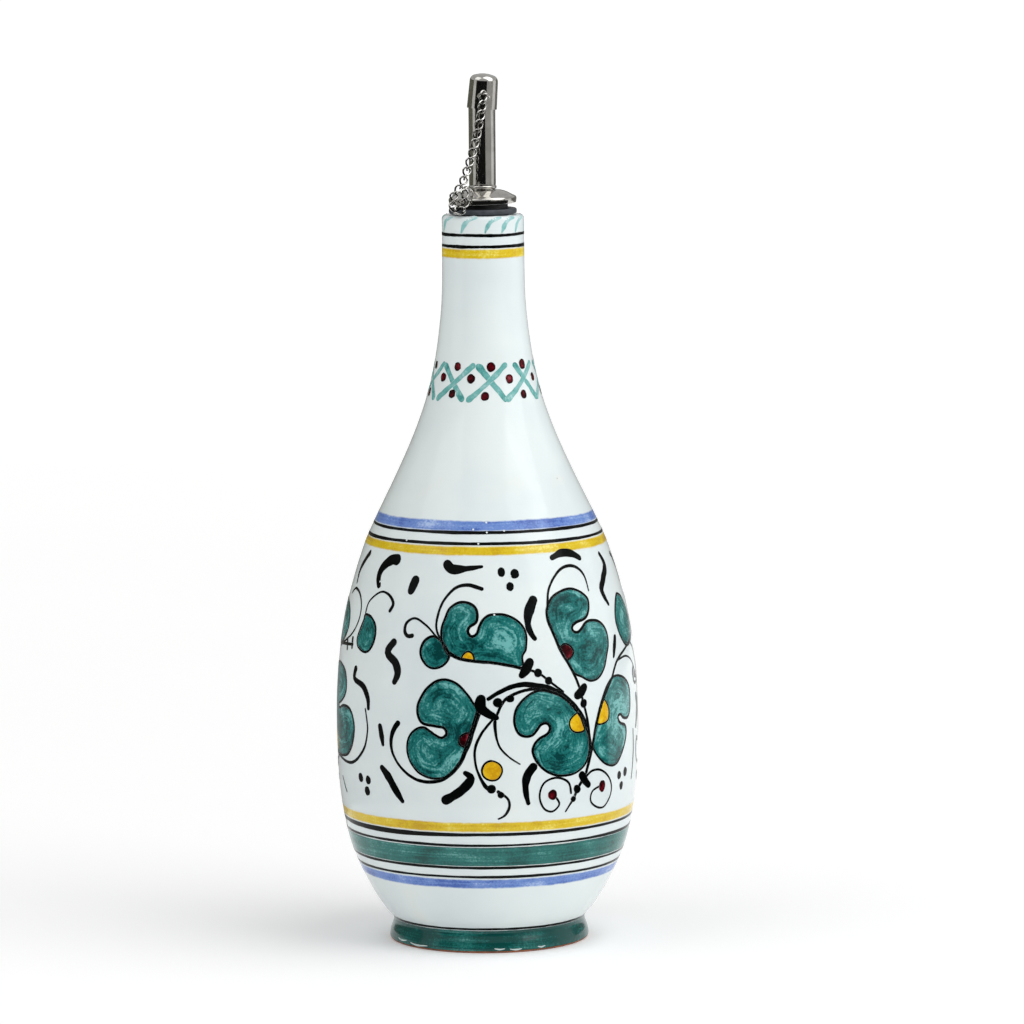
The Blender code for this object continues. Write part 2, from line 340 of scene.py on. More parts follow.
def tone(red, green, blue):
    """A colour from its screen values, 0 to 255."""
    linear = []
    for value in (red, green, blue):
        share = value / 255
        linear.append(share / 12.92 if share <= 0.04045 else ((share + 0.055) / 1.055) ** 2.4)
    return (*linear, 1.0)


def feed(tree, socket, value):
    if isinstance(value, bpy.types.NodeSocket):
        tree.links.new(value, socket)
    else:
        socket.default_value = value


def calc(tree, operation, first, second=0.0, clamp=False):
    node = tree.nodes.new("ShaderNodeMath")
    node.operation = operation
    node.use_clamp = clamp
    feed(tree, node.inputs[0], first)
    feed(tree, node.inputs[1], second)
    return node.outputs[0]


def ease(tree, value, low, high, to_low=0.0, to_high=1.0):
    """Maps low..high smoothly to to_low..to_high."""
    node = tree.nodes.new("ShaderNodeMapRange")
    node.interpolation_type = "SMOOTHSTEP"
    names = ("Value", "From Min", "From Max", "To Min", "To Max")
    for name, given in zip(names, (value, low, high, to_low, to_high)):
        feed(tree, node.inputs[name], given)
    return node.outputs["Result"]


def blend(tree, share, first, second):
    """The first colour at share 0 and the second at 1."""
    node = tree.nodes.new("ShaderNodeMix")
    node.data_type = "RGBA"
    feed(tree, node.inputs[0], share)
    feed(tree, node.inputs[6], first)
    feed(tree, node.inputs[7], second)
    return node.outputs[2]


def grain(tree, place, scale, detail=2.0, roughness=0.5, distortion=0.0, depth=None):
    """Noise, which also changes along a fourth way where a depth is given."""
    node = tree.nodes.new("ShaderNodeTexNoise")
    if depth is not None:
        node.noise_dimensions = "4D"
        feed(tree, node.inputs["W"], depth)
    feed(tree, node.inputs["Vector"], place)
    feed(tree, node.inputs["Scale"], scale)
    node.inputs["Detail"].default_value = detail
    node.inputs["Roughness"].default_value = roughness
    node.inputs["Distortion"].default_value = distortion
    return node.outputs["Fac"]


def stretched(tree, place, scale):
    node = tree.nodes.new("ShaderNodeVectorMath")
    node.operation = "MULTIPLY"
    feed(tree, node.inputs[0], place)
    feed(tree, node.inputs[1], scale)
    return node.outputs[0]


def own_place(tree):
    return tree.nodes.new("ShaderNodeTexCoord").outputs["Object"]


def painted_value(tree, name):
    node = tree.nodes.new("ShaderNodeAttribute")
    node.attribute_name = name
    return node.outputs["Fac"]


def new_group(name, inputs, outputs):
    """A shader node group with (name, kind, value) inputs and (name, kind) outputs."""
    group = bpy.data.node_groups.new(name, "ShaderNodeTree")
    for label, kind, value in inputs:
        socket = group.interface.new_socket(label, in_out="INPUT", socket_type="NodeSocket" + kind)
        socket.default_value = value
    for label, kind in outputs:
        group.interface.new_socket(label, in_out="OUTPUT", socket_type="NodeSocket" + kind)
    start = group.nodes.new("NodeGroupInput")
    end = group.nodes.new("NodeGroupOutput")
    return group, start.outputs, end.inputs


def use_group(tree, group, **values):
    node = tree.nodes.new("ShaderNodeGroup")
    node.node_tree = group
    for name, value in values.items():
        feed(tree, node.inputs[name.replace("_", " ").capitalize()], value)
    return node.outputs


# Glaze and pigments

GLAZE_WHITE = tone(226, 235, 234)
GLAZE_COOL = tone(219, 228, 229)
GLAZE_WARM = tone(229, 230, 222)
PINHOLE_TONE = tone(150, 145, 140)

# The gloss of the clear glaze, and of the dense dark pigments, as (specular level, coat).
GLAZE_GLOSS = (0.3, 0.15)
BLACK_GLOSS = (0.1, 0.02)
COAT_ROUGHNESS = 0.04
GLAZE_IOR = 1.5

# How a pigment lies, unless its own finish says otherwise.
USUAL_FEEL = {
    "soft_edge": 0.3,
    "pooling": 0.1,
    "patch_size": 260,
    "speckle": 0.9,
    "coverage": 0.55,
    "streaks": (300, 300, 300),
}


def glaze_ground_group():
    """The tin-white glaze: its faint clouding, throwing rings, fine waviness and pinholes."""
    outputs = [("Colour", "Color"), ("Roughness", "Float"), ("Height", "Float")]
    group, _, made = new_group("glaze_ground", [], outputs)
    place = own_place(group)
    cloud = grain(group, place, scale=28, detail=3)
    colour = blend(group, ease(group, cloud, 0.35, 0.65), GLAZE_COOL, GLAZE_WHITE)
    warm = grain(group, place, scale=60)
    colour = blend(group, ease(group, warm, 0.62, 0.8, 0, 0.35), colour, GLAZE_WARM)
    rings = grain(group, stretched(group, place, (3, 3, 230)), scale=1, roughness=0.6)
    waves = grain(group, place, scale=260)
    holes = group.nodes.new("ShaderNodeTexVoronoi")
    feed(group, holes.inputs["Vector"], place)
    holes.inputs["Scale"].default_value = 130
    pit = ease(group, holes.outputs["Distance"], 0.02, 0.05, 1, 0)
    some = ease(group, grain(group, place, scale=90, detail=1), 0.6, 0.66)
    pit = calc(group, "MULTIPLY", pit, some)
    height = 0.0
    for relief, weight in ((rings, 0.05), (waves, 0.02), (pit, -0.08)):
        height = calc(group, "ADD", height, calc(group, "MULTIPLY", relief, weight))
    pit_shade = calc(group, "MULTIPLY", pit, 0.5)
    feed(group, made["Colour"], blend(group, pit_shade, colour, PINHOLE_TONE))
    feed(group, made["Roughness"], ease(group, waves, 0.3, 0.7, 0.1, 0.16))
    feed(group, made["Height"], height)
    return group


def brushed_group():
    """Pigment sunk in the glaze. It reads how deep inside its film a point lies, and its load."""
    colours = [(name, "Color", (1, 1, 1, 1)) for name in ("Full", "Middle", "Thin", "Ground")]
    amounts = ("Soft edge", "Pooling", "Patch size", "Speckle", "Coverage", "Swirl")
    inputs = colours + [(name, "Float", 0.0) for name in amounts] + [("Streaks", "Vector", (1, 1, 1))]
    group, given, made = new_group("brushed_pigment", inputs, [("Colour", "Color"), ("Density", "Float")])
    place = own_place(group)
    depth = painted_value(group, "depth")
    load = painted_value(group, "load")
    patch = grain(group, place, given["Patch size"], distortion=0.4)
    run = stretched(group, place, given["Streaks"])
    streak = grain(group, run, scale=1, detail=3, roughness=0.6, distortion=0.7)
    astray = calc(group, "MULTIPLY", grain(group, place, scale=130), SWIRL_ASTRAY)
    turn = calc(group, "MULTIPLY", calc(group, "ADD", depth, astray), SWIRL_STEP)
    swirl = grain(group, place, scale=75, detail=3, roughness=0.6, distortion=0.5, depth=turn)
    speck = grain(group, place, scale=1500, roughness=0.7)
    density = given["Coverage"]
    for texture, weight in ((patch, 1.5), (streak, 1.3), (swirl, given["Swirl"]), (speck, given["Speckle"])):
        change = calc(group, "MULTIPLY", calc(group, "SUBTRACT", texture, 0.5), weight)
        density = calc(group, "ADD", density, change)
    rim = ease(group, depth, 0.0, 0.9, 1, 0)
    density = calc(group, "ADD", density, calc(group, "MULTIPLY", rim, given["Pooling"]))
    density = calc(group, "MULTIPLY", density, load, clamp=True)
    colour = blend(group, ease(group, density, 0.0, 0.5), given["Thin"], given["Middle"])
    colour = blend(group, ease(group, density, 0.5, 1.0), colour, given["Full"])
    wander = calc(group, "SUBTRACT", grain(group, place, scale=600, detail=1), 0.55)
    wander = calc(group, "MULTIPLY", wander, calc(group, "MULTIPLY", given["Soft edge"], 0.5))
    cover = ease(group, calc(group, "ADD", depth, wander), 0.0, given["Soft edge"])
    feed(group, made["Colour"], blend(group, cover, given["Ground"], colour))
    feed(group, made["Density"], density)
    return group


def new_finish(name):
    """A material, its nodes and the inputs of its shader."""
    made = bpy.data.materials.new(name)
    made.use_nodes = True
    return made, made.node_tree, made.node_tree.nodes["Principled BSDF"].inputs


def lay_bump(tree, shader, height, distance, strength=1.0):
    bump = tree.nodes.new("ShaderNodeBump")
    bump.inputs["Distance"].default_value = distance
    bump.inputs["Strength"].default_value = strength
    feed(tree, bump.inputs["Height"], height)
    feed(tree, shader["Normal"], bump.outputs["Normal"])


def set_gloss(shader, gloss):
    shader["IOR"].default_value = GLAZE_IOR
    shader["Specular IOR Level"].default_value, shader["Coat Weight"].default_value = gloss
    shader["Coat Roughness"].default_value = COAT_ROUGHNESS


def glaze_finish():
    made, tree, shader = new_finish("painted_glaze")
    base = use_group(tree, ground)
    feed(tree, shader["Base Color"], base["Colour"])
    feed(tree, shader["Roughness"], base["Roughness"])
    set_gloss(shader, GLAZE_GLOSS)
    lay_bump(tree, shader, base["Height"], MM)
    return made


def pigment_finish(name, full, middle, thin, gloss=GLAZE_GLOSS, **feel):
    """The three tones, as screen values, are those of dense, usual and thin paint."""
    made, tree, shader = new_finish(name)
    base = use_group(tree, ground)
    tones = {"full": tone(*full), "middle": tone(*middle), "thin": tone(*thin)}
    paint = use_group(tree, brushed, ground=base["Colour"], **tones, **{**USUAL_FEEL, **feel})
    dulled = calc(tree, "MULTIPLY", paint["Density"], 0.05)
    feed(tree, shader["Base Color"], paint["Colour"])
    feed(tree, shader["Roughness"], calc(tree, "ADD", base["Roughness"], dulled))
    set_gloss(shader, gloss)
    lay_bump(tree, shader, base["Height"], MM)
    return made


def clay_finish():
    """The bare clay edge that the foot stands on."""
    made, tree, shader = new_finish("bare_clay")
    place = own_place(tree)
    cloud = grain(tree, place, scale=160, detail=4, roughness=0.65)
    colour = blend(tree, ease(tree, cloud, 0.3, 0.7), tone(116, 62, 36), tone(166, 96, 58))
    grit = grain(tree, place, scale=2200, roughness=0.7)
    colour = blend(tree, ease(tree, grit, 0.6, 0.75, 0, 0.5), colour, tone(222, 176, 140))
    feed(tree, shader["Base Color"], colour)
    feed(tree, shader["Roughness"], ease(tree, grit, 0.3, 0.7, 0.75, 0.95))
    lay_bump(tree, shader, grit, 0.0001)
    return made


def metal_finish(name, bright, dull, roughest, scratch, inner_shade=None):
    """Polished plate: faint smears, fine scratches, a slightly uneven surface, and painted shade on links'
    inner sides where asked.
    """
    made, tree, shader = new_finish(name)
    place = own_place(tree)
    smear = grain(tree, place, scale=170, detail=4, roughness=0.6, distortion=0.8)
    hair = grain(tree, stretched(tree, place, (500, 500, 5200)), scale=1, detail=3, roughness=0.7)
    colour = blend(tree, ease(tree, smear, 0.35, 0.7), tone(*bright), tone(*dull))
    # Painted shade: the inner side of each chain link is darkened towards this tone.
    if inner_shade:
        unshaded_share = ease(tree, painted_value(tree, "shade_side"), -0.35, 0.25)
        colour = blend(tree, unshaded_share, tone(*inner_shade), colour)
    feed(tree, shader["Base Color"], colour)
    rough = ease(tree, smear, 0.4, 0.75, 0.05, roughest)
    rough = calc(tree, "ADD", rough, ease(tree, hair, 0.6, 0.8, 0, scratch))
    feed(tree, shader["Roughness"], rough)
    shader["Metallic"].default_value = 1.0
    lay_bump(tree, shader, grain(tree, place, scale=120), distance=0.00008, strength=0.6)
    return made


def rubber_finish():
    """Grey where it is handled, with painted shade: the stem under the disc is darkened to near-black."""
    made, tree, shader = new_finish("stopper_rubber")
    place = own_place(tree)
    cloud = grain(tree, place, scale=300, detail=3)
    dust = grain(tree, place, scale=2600, roughness=0.7)
    colour = blend(tree, ease(tree, cloud, 0.35, 0.7), tone(50, 55, 60), tone(70, 76, 82))
    colour = blend(tree, ease(tree, dust, 0.62, 0.8, 0, 0.35), colour, tone(120, 124, 128))
    parts = tree.nodes.new("ShaderNodeSeparateXYZ")
    feed(tree, parts.inputs[0], place)
    # Painted shade: above the fin top, the stem in the gap under the disc is darkened to near-black.
    stem_shade_mask = ease(tree, parts.outputs["Z"], (FIN_TOP - 0.1) * MM, (FIN_TOP + 0.1) * MM)
    feed(tree, shader["Base Color"], blend(tree, stem_shade_mask, colour, tone(15, 16, 18)))
    feed(tree, shader["Roughness"], ease(tree, cloud, 0.3, 0.7, 0.42, 0.6))
    lay_bump(tree, shader, dust, 0.00004)
    return made


# Brushwork

class Film:
    """One pigment's strokes and patches, gathered into one piece."""

    def __init__(self, name, finish):
        self.name = name
        self.finish = finish
        self.shape = new_film_shape()

    def done(self):
        """Closes the film into a thin body and makes it a piece."""
        bmesh.ops.solidify(self.shape, geom=self.shape.faces[:], thickness=FILM_BODY * MM)
        piece(self.name, self.shape, self.finish)


def new_film_shape():
    shape = bmesh.new()
    shape.verts.layers.float.new("depth")
    shape.verts.layers.float.new("load")
    return shape


def film_layers(shape):
    return shape.verts.layers.float["depth"], shape.verts.layers.float["load"]


def face_outwards(shape, faces):
    """Turns the faces over if they look into the bottle."""
    shape.normal_update()
    out = 0.0
    for face in faces:
        middle = face.calc_center_median()
        out += face.normal.dot(Vector((middle.x, middle.y, 0)))
    if out < 0:
        bmesh.ops.reverse_faces(shape, faces=faces)


def along_list(values, share):
    """The value at a share of the way through a short list, eased between its entries."""
    if len(values) == 1:
        return values[0]
    spot = min(max(share, 0.0), 1.0) * (len(values) - 1)
    low = min(int(spot), len(values) - 2)
    t = spot - low
    t = t * t * (3 - 2 * t)
    return values[low] * (1 - t) + values[low + 1] * t


def mm_per_degree(height):
    return side_radius(height) * math.pi / 180


def brush_stroke(film, path, widths, loads=(1.0,), lift=LINE_LIFT, closed=False, wobble=0.05, steps=8):
    """One stroke of the brush along (degrees, height) places, with round ends.

    Its widths and loads are spread evenly along it.
    """
    line = curve_points([(degrees, height, 0) for degrees, height in path], steps, closed)
    if closed:
        line.append(line[0])
    travel = [0.0]
    for before, after in zip(line, line[1:]):
        sideways = (after.x - before.x) * mm_per_degree(after.y)
        travel.append(travel[-1] + math.hypot(sideways, after.y - before.y))
    length = travel[-1]
    rows = max(FEWEST_STEPS, math.ceil(length / STROKE_STEP))
    shape = film.shape
    grid = bmesh.ops.create_grid(shape, x_segments=STROKE_ROWS, y_segments=rows, size=0.5)
    verts = grid["verts"]
    depth, load = film_layers(shape)
    # Where the stroke starts decides how its width and its line waver.
    seed = noise.noise(line[0] * 0.37) * 90

    def at(distance):
        place = min(max(bisect.bisect_left(travel, distance), 1), len(travel) - 1)
        span = travel[place] - travel[place - 1]
        share = (distance - travel[place - 1]) / span if span else 0.0
        return line[place - 1].lerp(line[place], min(max(share, 0.0), 1.0))

    for vert in verts:
        across, share = vert.co.x * 2, vert.co.y + 0.5
        if not closed:
            share = 0.5 - 0.5 * math.cos(math.pi * share)
        distance = share * length
        centre = at(distance)
        ahead, behind = at(distance + HEADING_REACH), at(distance - HEADING_REACH)
        scale = mm_per_degree(centre.y)
        heading = Vector(((ahead.x - behind.x) * scale, ahead.y - behind.y)).normalized()
        half = along_list(widths, share) / 2 * LINE_GAIN + INK_SPREAD
        half *= 1 + wobble * 2 * noise.noise(Vector((distance * 0.5, seed, 2.0)))
        if not closed:
            end = min(distance, length - distance)
            if end < half:
                half *= math.sqrt(max(1 - (1 - end / half) ** 2, 0.0))
        half = max(half, NARROWEST)
        offset = across * half + wobble * 1.5 * noise.noise(Vector((distance * 0.35, seed, 7.0)))
        degrees = centre.x - heading.y * offset / scale
        height = centre.y + heading.x * offset
        vert.co = on_glaze(degrees, height, lift)
        vert[depth] = (1 - abs(across)) * half
        vert[load] = along_list(loads, share)
    face_outwards(shape, list({face for vert in verts for face in vert.link_faces}))


def brushed_patch(film, outline, lift=FILL_LIFT, load=1.0, steps=5):
    """A filled area inside a closed line of (degrees, height) places."""
    route = [(degrees * PLANE_SCALE, height, 0) for degrees, height in outline]
    line = curve_points(route, steps, closed=True)
    shape = new_film_shape()
    depth, load_layer = film_layers(shape)
    shape.faces.new([shape.verts.new(point) for point in line])
    bmesh.ops.inset_region(shape, faces=shape.faces[:], thickness=PATCH_EDGE, use_even_offset=True)
    for axis in (Vector((1, 0, 0)), Vector((0, 1, 0))):
        reaches = [point.dot(axis) for point in line]
        first = math.ceil(min(reaches) / PATCH_STEP)
        last = math.floor(max(reaches) / PATCH_STEP)
        for k in range(first, last + 1):
            bmesh.ops.bisect_plane(
                shape,
                geom=shape.verts[:] + shape.edges[:] + shape.faces[:],
                plane_co=axis * k * PATCH_STEP,
                plane_no=axis,
                dist=CUT_MARGIN,
            )
    bmesh.ops.triangulate(shape, faces=shape.faces[:])
    sides = list(zip(line, line[1:] + line[:1]))
    for vert in shape.verts:
        nearest = math.inf
        for start, end in sides:
            run = end - start
            t = min(max((vert.co - start).dot(run) / max(run.length_squared, 1e-12), 0.0), 1.0)
            nearest = min(nearest, (vert.co - start - run * t).length_squared)
        vert[depth] = math.sqrt(nearest)
        vert[load_layer] = load
    for vert in shape.verts:
        vert.co = on_glaze(vert.co.x / PLANE_SCALE, vert.co.y, lift)
    face_outwards(shape, shape.faces[:])
    add_shape(film.shape, shape)


def round_dot(film, degrees, height, radius, lift=DOT_LIFT, stretch=1.0, load=1.0):
    """A filled round touch of the brush, a little out of true."""
    outline = []
    for k in range(DOT_POINTS):
        angle = 2 * math.pi * k / DOT_POINTS
        spot = Vector((math.cos(angle) * 1.3, math.sin(angle) * 1.3, degrees + height))
        out = radius * (1 + DOT_WAVE * noise.noise(spot))
        sideways = out * math.cos(angle) / mm_per_degree(height)
        outline.append((degrees + sideways, height + stretch * out * math.sin(angle)))
    brushed_patch(film, outline, lift, load, steps=2)


def ring_band(film, low, high, low_wave, high_wave, seed, lift=FILL_LIFT, swell=0.0, load=1.0):
    """A painted band or line right round the bottle, with edges as the brush left them."""
    shape = new_film_shape()
    depth, load_layer = film_layers(shape)
    rows = max(BAND_ROWS, math.ceil((high - low) / ROW_HEIGHT))
    spin_line(shape, [(0.0, -1.0, k / rows) for k in range(rows + 1)], RING_STEPS)
    for vert in shape.verts:
        angle = math.atan2(vert.co.x, -vert.co.y)
        circle = Vector((math.cos(angle), math.sin(angle), 0))
        # The lower and the upper edge wander apart, slowly with a faster ripple on top.
        waves = []
        for kind in (0, 1):
            slow = noise.noise(circle * 1.6 + Vector((0, 0, seed + kind * 5.3)))
            fast = noise.noise(circle * 9 + Vector((0, 0, seed + 20 + kind * 7.1)))
            waves.append(slow + 0.35 * fast)
        near = math.exp(-((math.degrees(angle) - SWELL_AT) / SWELL_REACH) ** 2)
        bottom = low + low_wave * waves[0] - swell * near
        top = high + high_wave * waves[1]
        share = vert.co.z
        height = bottom + (top - bottom) * share
        vert[depth] = min(share, 1 - share) * (top - bottom)
        vert[load_layer] = load
        vert.co = on_glaze(math.degrees(angle), height, lift)
    face_outwards(shape, shape.faces[:])
    add_shape(film.shape, shape)


# The bottle

ground = glaze_ground_group()
brushed = brushed_group()
glaze = glaze_finish()
clay = clay_finish()
green = pigment_finish(
    "leaf_green", (2, 60, 60), (28, 112, 109), (110, 178, 175), soft_edge=0.2, pooling=0.5,
    patch_size=80, speckle=1.2, coverage=0.52, streaks=(200, 200, 200), swirl=2.1,
)
band_green = pigment_finish(
    "band_green", (8, 72, 68), (30, 108, 102), (108, 170, 164),
    pooling=0.2, patch_size=60, speckle=1.0, coverage=0.66, streaks=(30, 30, 1100),
)
blue = pigment_finish(
    "band_blue", (68, 98, 174), (106, 138, 203), (168, 190, 228),
    soft_edge=0.7, pooling=0.0, patch_size=110, speckle=1.1, streaks=(30, 30, 800),
)
yellow = pigment_finish(
    "band_yellow", (196, 158, 8), (216, 186, 22), (236, 222, 110),
    soft_edge=0.7, pooling=0.0, patch_size=120, speckle=1.1, streaks=(30, 30, 700),
)
spot_yellow = pigment_finish(
    "touch_yellow", (202, 150, 6), (224, 180, 18), (236, 208, 80),
    soft_edge=0.1, pooling=0.2, patch_size=200, coverage=0.6,
)
black = pigment_finish(
    "line_black", (3, 5, 5), (10, 14, 15), (96, 104, 106), BLACK_GLOSS,
    soft_edge=0.015, coverage=1.15, streaks=(500, 500, 500),
)
red = pigment_finish(
    "dot_red", (34, 2, 6), (84, 5, 16), (150, 60, 70), BLACK_GLOSS,
    soft_edge=0.05, pooling=0.5, patch_size=300, coverage=0.62,
)
teal = pigment_finish("line_teal", (62, 140, 136), (106, 172, 168), (170, 206, 206), soft_edge=0.12)
rim_teal = pigment_finish(
    "rim_teal", (92, 158, 156), (138, 192, 190), (182, 215, 215), soft_edge=0.35, speckle=0.6, coverage=0.5
)
# A pale pigment for painted highlights: glints on the foot and on pinholes.
pale = pigment_finish(
    "painted_glint_pale", (176, 208, 200), (150, 192, 184), (90, 150, 140),
    pooling=0.2, patch_size=300, speckle=0.6, coverage=0.6,
)
steel = metal_finish("polished_steel", (206, 204, 199), (186, 184, 178), roughest=0.12, scratch=0.06)
# The chain gets painted shade: its links are darkened on their inner sides.
chain_steel = metal_finish(
    "chain_steel", (236, 235, 231), (170, 168, 164), roughest=0.14, scratch=0.05, inner_shade=(34, 33, 31)
)
rubber = rubber_finish()


def bottle_outline():
    bore_edge = arc(MOUTH_TOP - BORE_EDGE, BORE_RADIUS + BORE_EDGE, BORE_EDGE, 180, 90, 6)
    bore_floor = MOUTH_TOP - BORE_DEPTH
    outline = [(bore_floor, 0.0), (bore_floor, BORE_RADIUS)]
    return outline + bore_edge + SIDE[::-1] + [(0.0, 0.0)]


piece("glazed_bottle", turned(bottle_outline(), BOTTLE_SEGMENTS), glaze, ["bottle"])

# The bare edge of the foot, and the base inside it.
clay_side = [(height, radius + CLAY_LIFT) for height, radius in SIDE if height <= CLAY_TOP]
clay_rim = (clay_side[-1][0], clay_side[-1][1] - CLAY_BODY)
clay_shape = turned([clay_rim] + clay_side[::-1] + [(0.0, 0.0)], BOTTLE_SEGMENTS)
piece("bare_clay_foot", clay_shape, clay)

green_film = Film("painted_green_bands", band_green)
blue_film = Film("painted_blue_bands", blue)
yellow_film = Film("painted_yellow_bands", yellow)
line_film = Film("painted_ring_lines", black)

# From the top down: the lower and the upper edge, and how far each of them wanders.
BANDS = [
    (yellow_film, 240.9, 244.8, 0.15, 0.1),
    (blue_film, 148.6, 152.5, 0.1, 0.3),
    (yellow_film, 140.5, 144.1, 0.3, 0.1),
    (yellow_film, 45.2, 49.2, 0.15, 0.3),
    (green_film, 33.0, 40.2, 0.15, 0.15),
    (blue_film, 24.6, 28.4, 0.35, 0.1),
]
FOOT_BAND = (green_film, 0.3, 8.0, 0.0, 0.1)
FOOT_LOAD = 1.35

# The black rings, as (height, width). One of them swells where the brush was reloaded.
RINGS = [
    (249.3, 1.05), (245.3, 1.15), (148.3, 1.0), (144.6, 1.0), (44.7, 1.05), (40.8, 0.95), (32.5, 0.9),
    (29.0, 0.9), (8.4, 1.0),
]
RING_WAVE = 0.25
FIRST_RING_SEED = 40
SWELLING_RING = 44.7
SWELL = 0.8
SWELL_AT = -48
SWELL_REACH = 35

for seed, band in enumerate(BANDS, 1):
    ring_band(*band, seed)
ring_band(*FOOT_BAND, len(BANDS) + 1, DOT_LIFT, load=FOOT_LOAD)
for number, (height, width) in enumerate(RINGS):
    low, high = height - width / 2, height + width / 2
    swell = SWELL if height == SWELLING_RING else 0.0
    ring_band(line_film, low, high, RING_WAVE, RING_WAVE, FIRST_RING_SEED + number * 3, LINE_LIFT, swell)
for film in (green_film, blue_film, yellow_film, line_film):
    film.done()


# The ornament. Places are (degrees round, height), as measured on the front of the bottle.

LEAVES = {
    "lying": [
        (-15.5, 108), (-17.5, 112), (-18, 115.5), (-17, 119), (-15, 123), (-11.5, 125), (-7.5, 125),
        (-4.5, 123.5), (-3.5, 121), (-4, 118.5), (-6.5, 117), (-7.2, 115.3), (-6, 113.8), (-4.5, 114),
        (-3.4, 115), (-2.7, 117), (-1, 119.5), (2, 121), (7, 121), (11.5, 119.5), (15, 116.5),
        (16, 113), (15.5, 109), (14, 106.5), (14, 102.8), (10, 103.6), (2.5, 104.8), (-4.5, 105.4),
        (-9, 106), (-13, 107),
    ],
    "standing": [
        (26.5, 123.5), (29, 126), (33.5, 127.7), (38.5, 128.3), (43.5, 127), (47.3, 124.5),
        (47.2, 121.5), (45.6, 119), (43, 117.5), (39, 116.8), (36.7, 115.6), (36.8, 114),
        (39, 113.4), (41.3, 114.5), (44, 116.4), (48, 116.8), (52.5, 115.6), (55.5, 112.7),
        (56, 108.5), (53.7, 103.5), (51, 99.2), (47.2, 96.6), (43, 96.3), (39.2, 98), (35.7, 99.6),
        (32.5, 104), (30, 108.3), (27.5, 113.7), (25.8, 118.3), (25.5, 121),
    ],
    "left": [
        (-3.2, 88.3), (-4.8, 90.6), (-7, 93.6), (-10.5, 97), (-14, 98.6), (-17, 98.8), (-20.5, 97.6),
        (-24, 94.5), (-26.5, 90.3), (-26.8, 86.8), (-25.8, 84.4), (-24, 83.2), (-19.5, 82.6),
        (-16.2, 82.1), (-15.2, 80.2), (-17, 78.7), (-19.5, 79.4), (-22, 81), (-24.4, 82), (-27.3, 81.3),
        (-29.7, 79.4), (-31, 77), (-31.4, 73.4), (-30, 69.5), (-27, 66.3), (-23, 64.6),
        (-19.4, 64.3), (-15, 65.3), (-10.7, 69.3), (-8, 73.7), (-6.3, 77), (-4.5, 83),
    ],
    "curled": [
        (20.5, 94.6), (17, 93.8), (13.3, 91.3), (10.8, 88), (10.3, 84), (11.6, 80.4), (14.2, 79),
        (17, 79.2), (19, 81), (20.6, 82.8), (22.9, 83.1), (24.2, 81.5), (23.2, 79.5), (20, 78),
        (17.8, 75.8), (17.3, 73.2), (19, 69.7), (22.5, 66.5), (26.7, 64.7), (31.7, 64.3),
        (36, 65.1), (39.7, 67.4), (41.4, 70.6), (41.9, 74.6), (40.6, 79.4), (37.5, 84.4),
        (32.8, 89.5), (28, 92.8), (24, 94.2),
    ],
    "right": [
        (56.5, 96), (60.5, 96.3), (66, 94.7), (70, 91.5), (70.7, 87.3), (69.8, 82.7), (67, 80.7),
        (63.4, 81.2), (61.1, 82.6), (59.1, 82), (60.5, 79.8), (64.8, 78.3), (66, 75.8),
        (64.7, 72), (61, 67.6), (57.6, 65.4), (53.6, 65.5), (49, 67.4), (45, 71), (43.7, 73.7),
        (44.5, 78.4), (46.2, 83.5), (49.2, 89.2), (52.5, 93.5),
    ],
    "far_right": [
        (73.5, 123.5), (78, 121.5), (82.5, 115.5), (83.5, 110), (80, 107), (72, 105.5), (67, 109),
        (64.5, 114.5), (66.5, 119.5), (70.5, 123),
    ],
    "small": [
        (-58.5, 118.5), (-54, 118), (-50.2, 115), (-50, 110.5), (-52.5, 106.7), (-56, 105.7),
        (-60.7, 107), (-62.3, 109.5), (-61, 113), (-59, 116.5),
    ],
    "far_left": [
        (-88, 121.5), (-80, 120.5), (-75, 118), (-73, 113.5), (-76, 109), (-83, 106), (-90, 107),
        (-94, 112), (-93, 118),
    ],
    "side": [
        (-78, 99.5), (-71, 97.5), (-68.5, 93), (-70, 89), (-75, 86.3), (-78.5, 85.2), (-77, 83.8),
        (-72, 85.2), (-66, 85.3), (-62.3, 83), (-60.8, 78.5), (-62.5, 73), (-66.5, 69), (-72, 67.5),
        (-79, 67.5), (-87, 70), (-93, 77), (-95, 85), (-93, 93), (-87, 98.5),
    ],
    "bud": [
        (-16.6, 110.8), (-19, 112.8), (-21.9, 113.4), (-25, 111.6), (-26.4, 108), (-24.8, 104.6),
        (-21.5, 102.6), (-17.8, 103.1), (-15, 105.4), (-14.6, 107.8),
    ],
}

# Touches where a leaf meets its stem.
YELLOW_TOUCHES = [
    [(-9.5, 106.4), (-8.8, 107.6), (-7, 108.6), (-5.2, 107.7), (-4.7, 105.3), (-7, 105.5), (-9.3, 105.7)],
    [(36.8, 85.5), (34.5, 85), (32.6, 83), (33, 80.5), (35.5, 79), (39.2, 79.3), (38.8, 81.5)],
    [(49.2, 89.3), (51.5, 88), (53, 85), (52.5, 82), (50, 80.8), (46.2, 81), (46.8, 84.5)],
    [(-81, 67.8), (-85, 69), (-88.5, 71.2), (-88, 74.5), (-84.5, 75.5), (-81.5, 73.5), (-80.5, 70.5)],
    [
        (1.7, 70.8), (4.6, 69.6), (5.6, 67.2), (4.2, 64.6), (1.5, 63.9), (-1.2, 65.2), (-2, 67.6),
        (-0.8, 69.9),
    ],
]
RED_TOUCHES = [
    [
        (30, 108.5), (31.3, 109.8), (33.2, 109.8), (35.5, 108.3), (36, 106.5), (34.5, 105), (32.4, 104.3),
        (31, 106.3),
    ],
    [(-6, 80.2), (-8.2, 80.4), (-10.2, 79), (-10.4, 76.8), (-8.5, 75.5), (-7.3, 75.8)],
]
RED_DOTS = [(25.3, 57.9, 1.7, 1.1), (49.2, 58.8, 1.7, 1.3), (80.2, 94.6, 1.5, 1.1)]

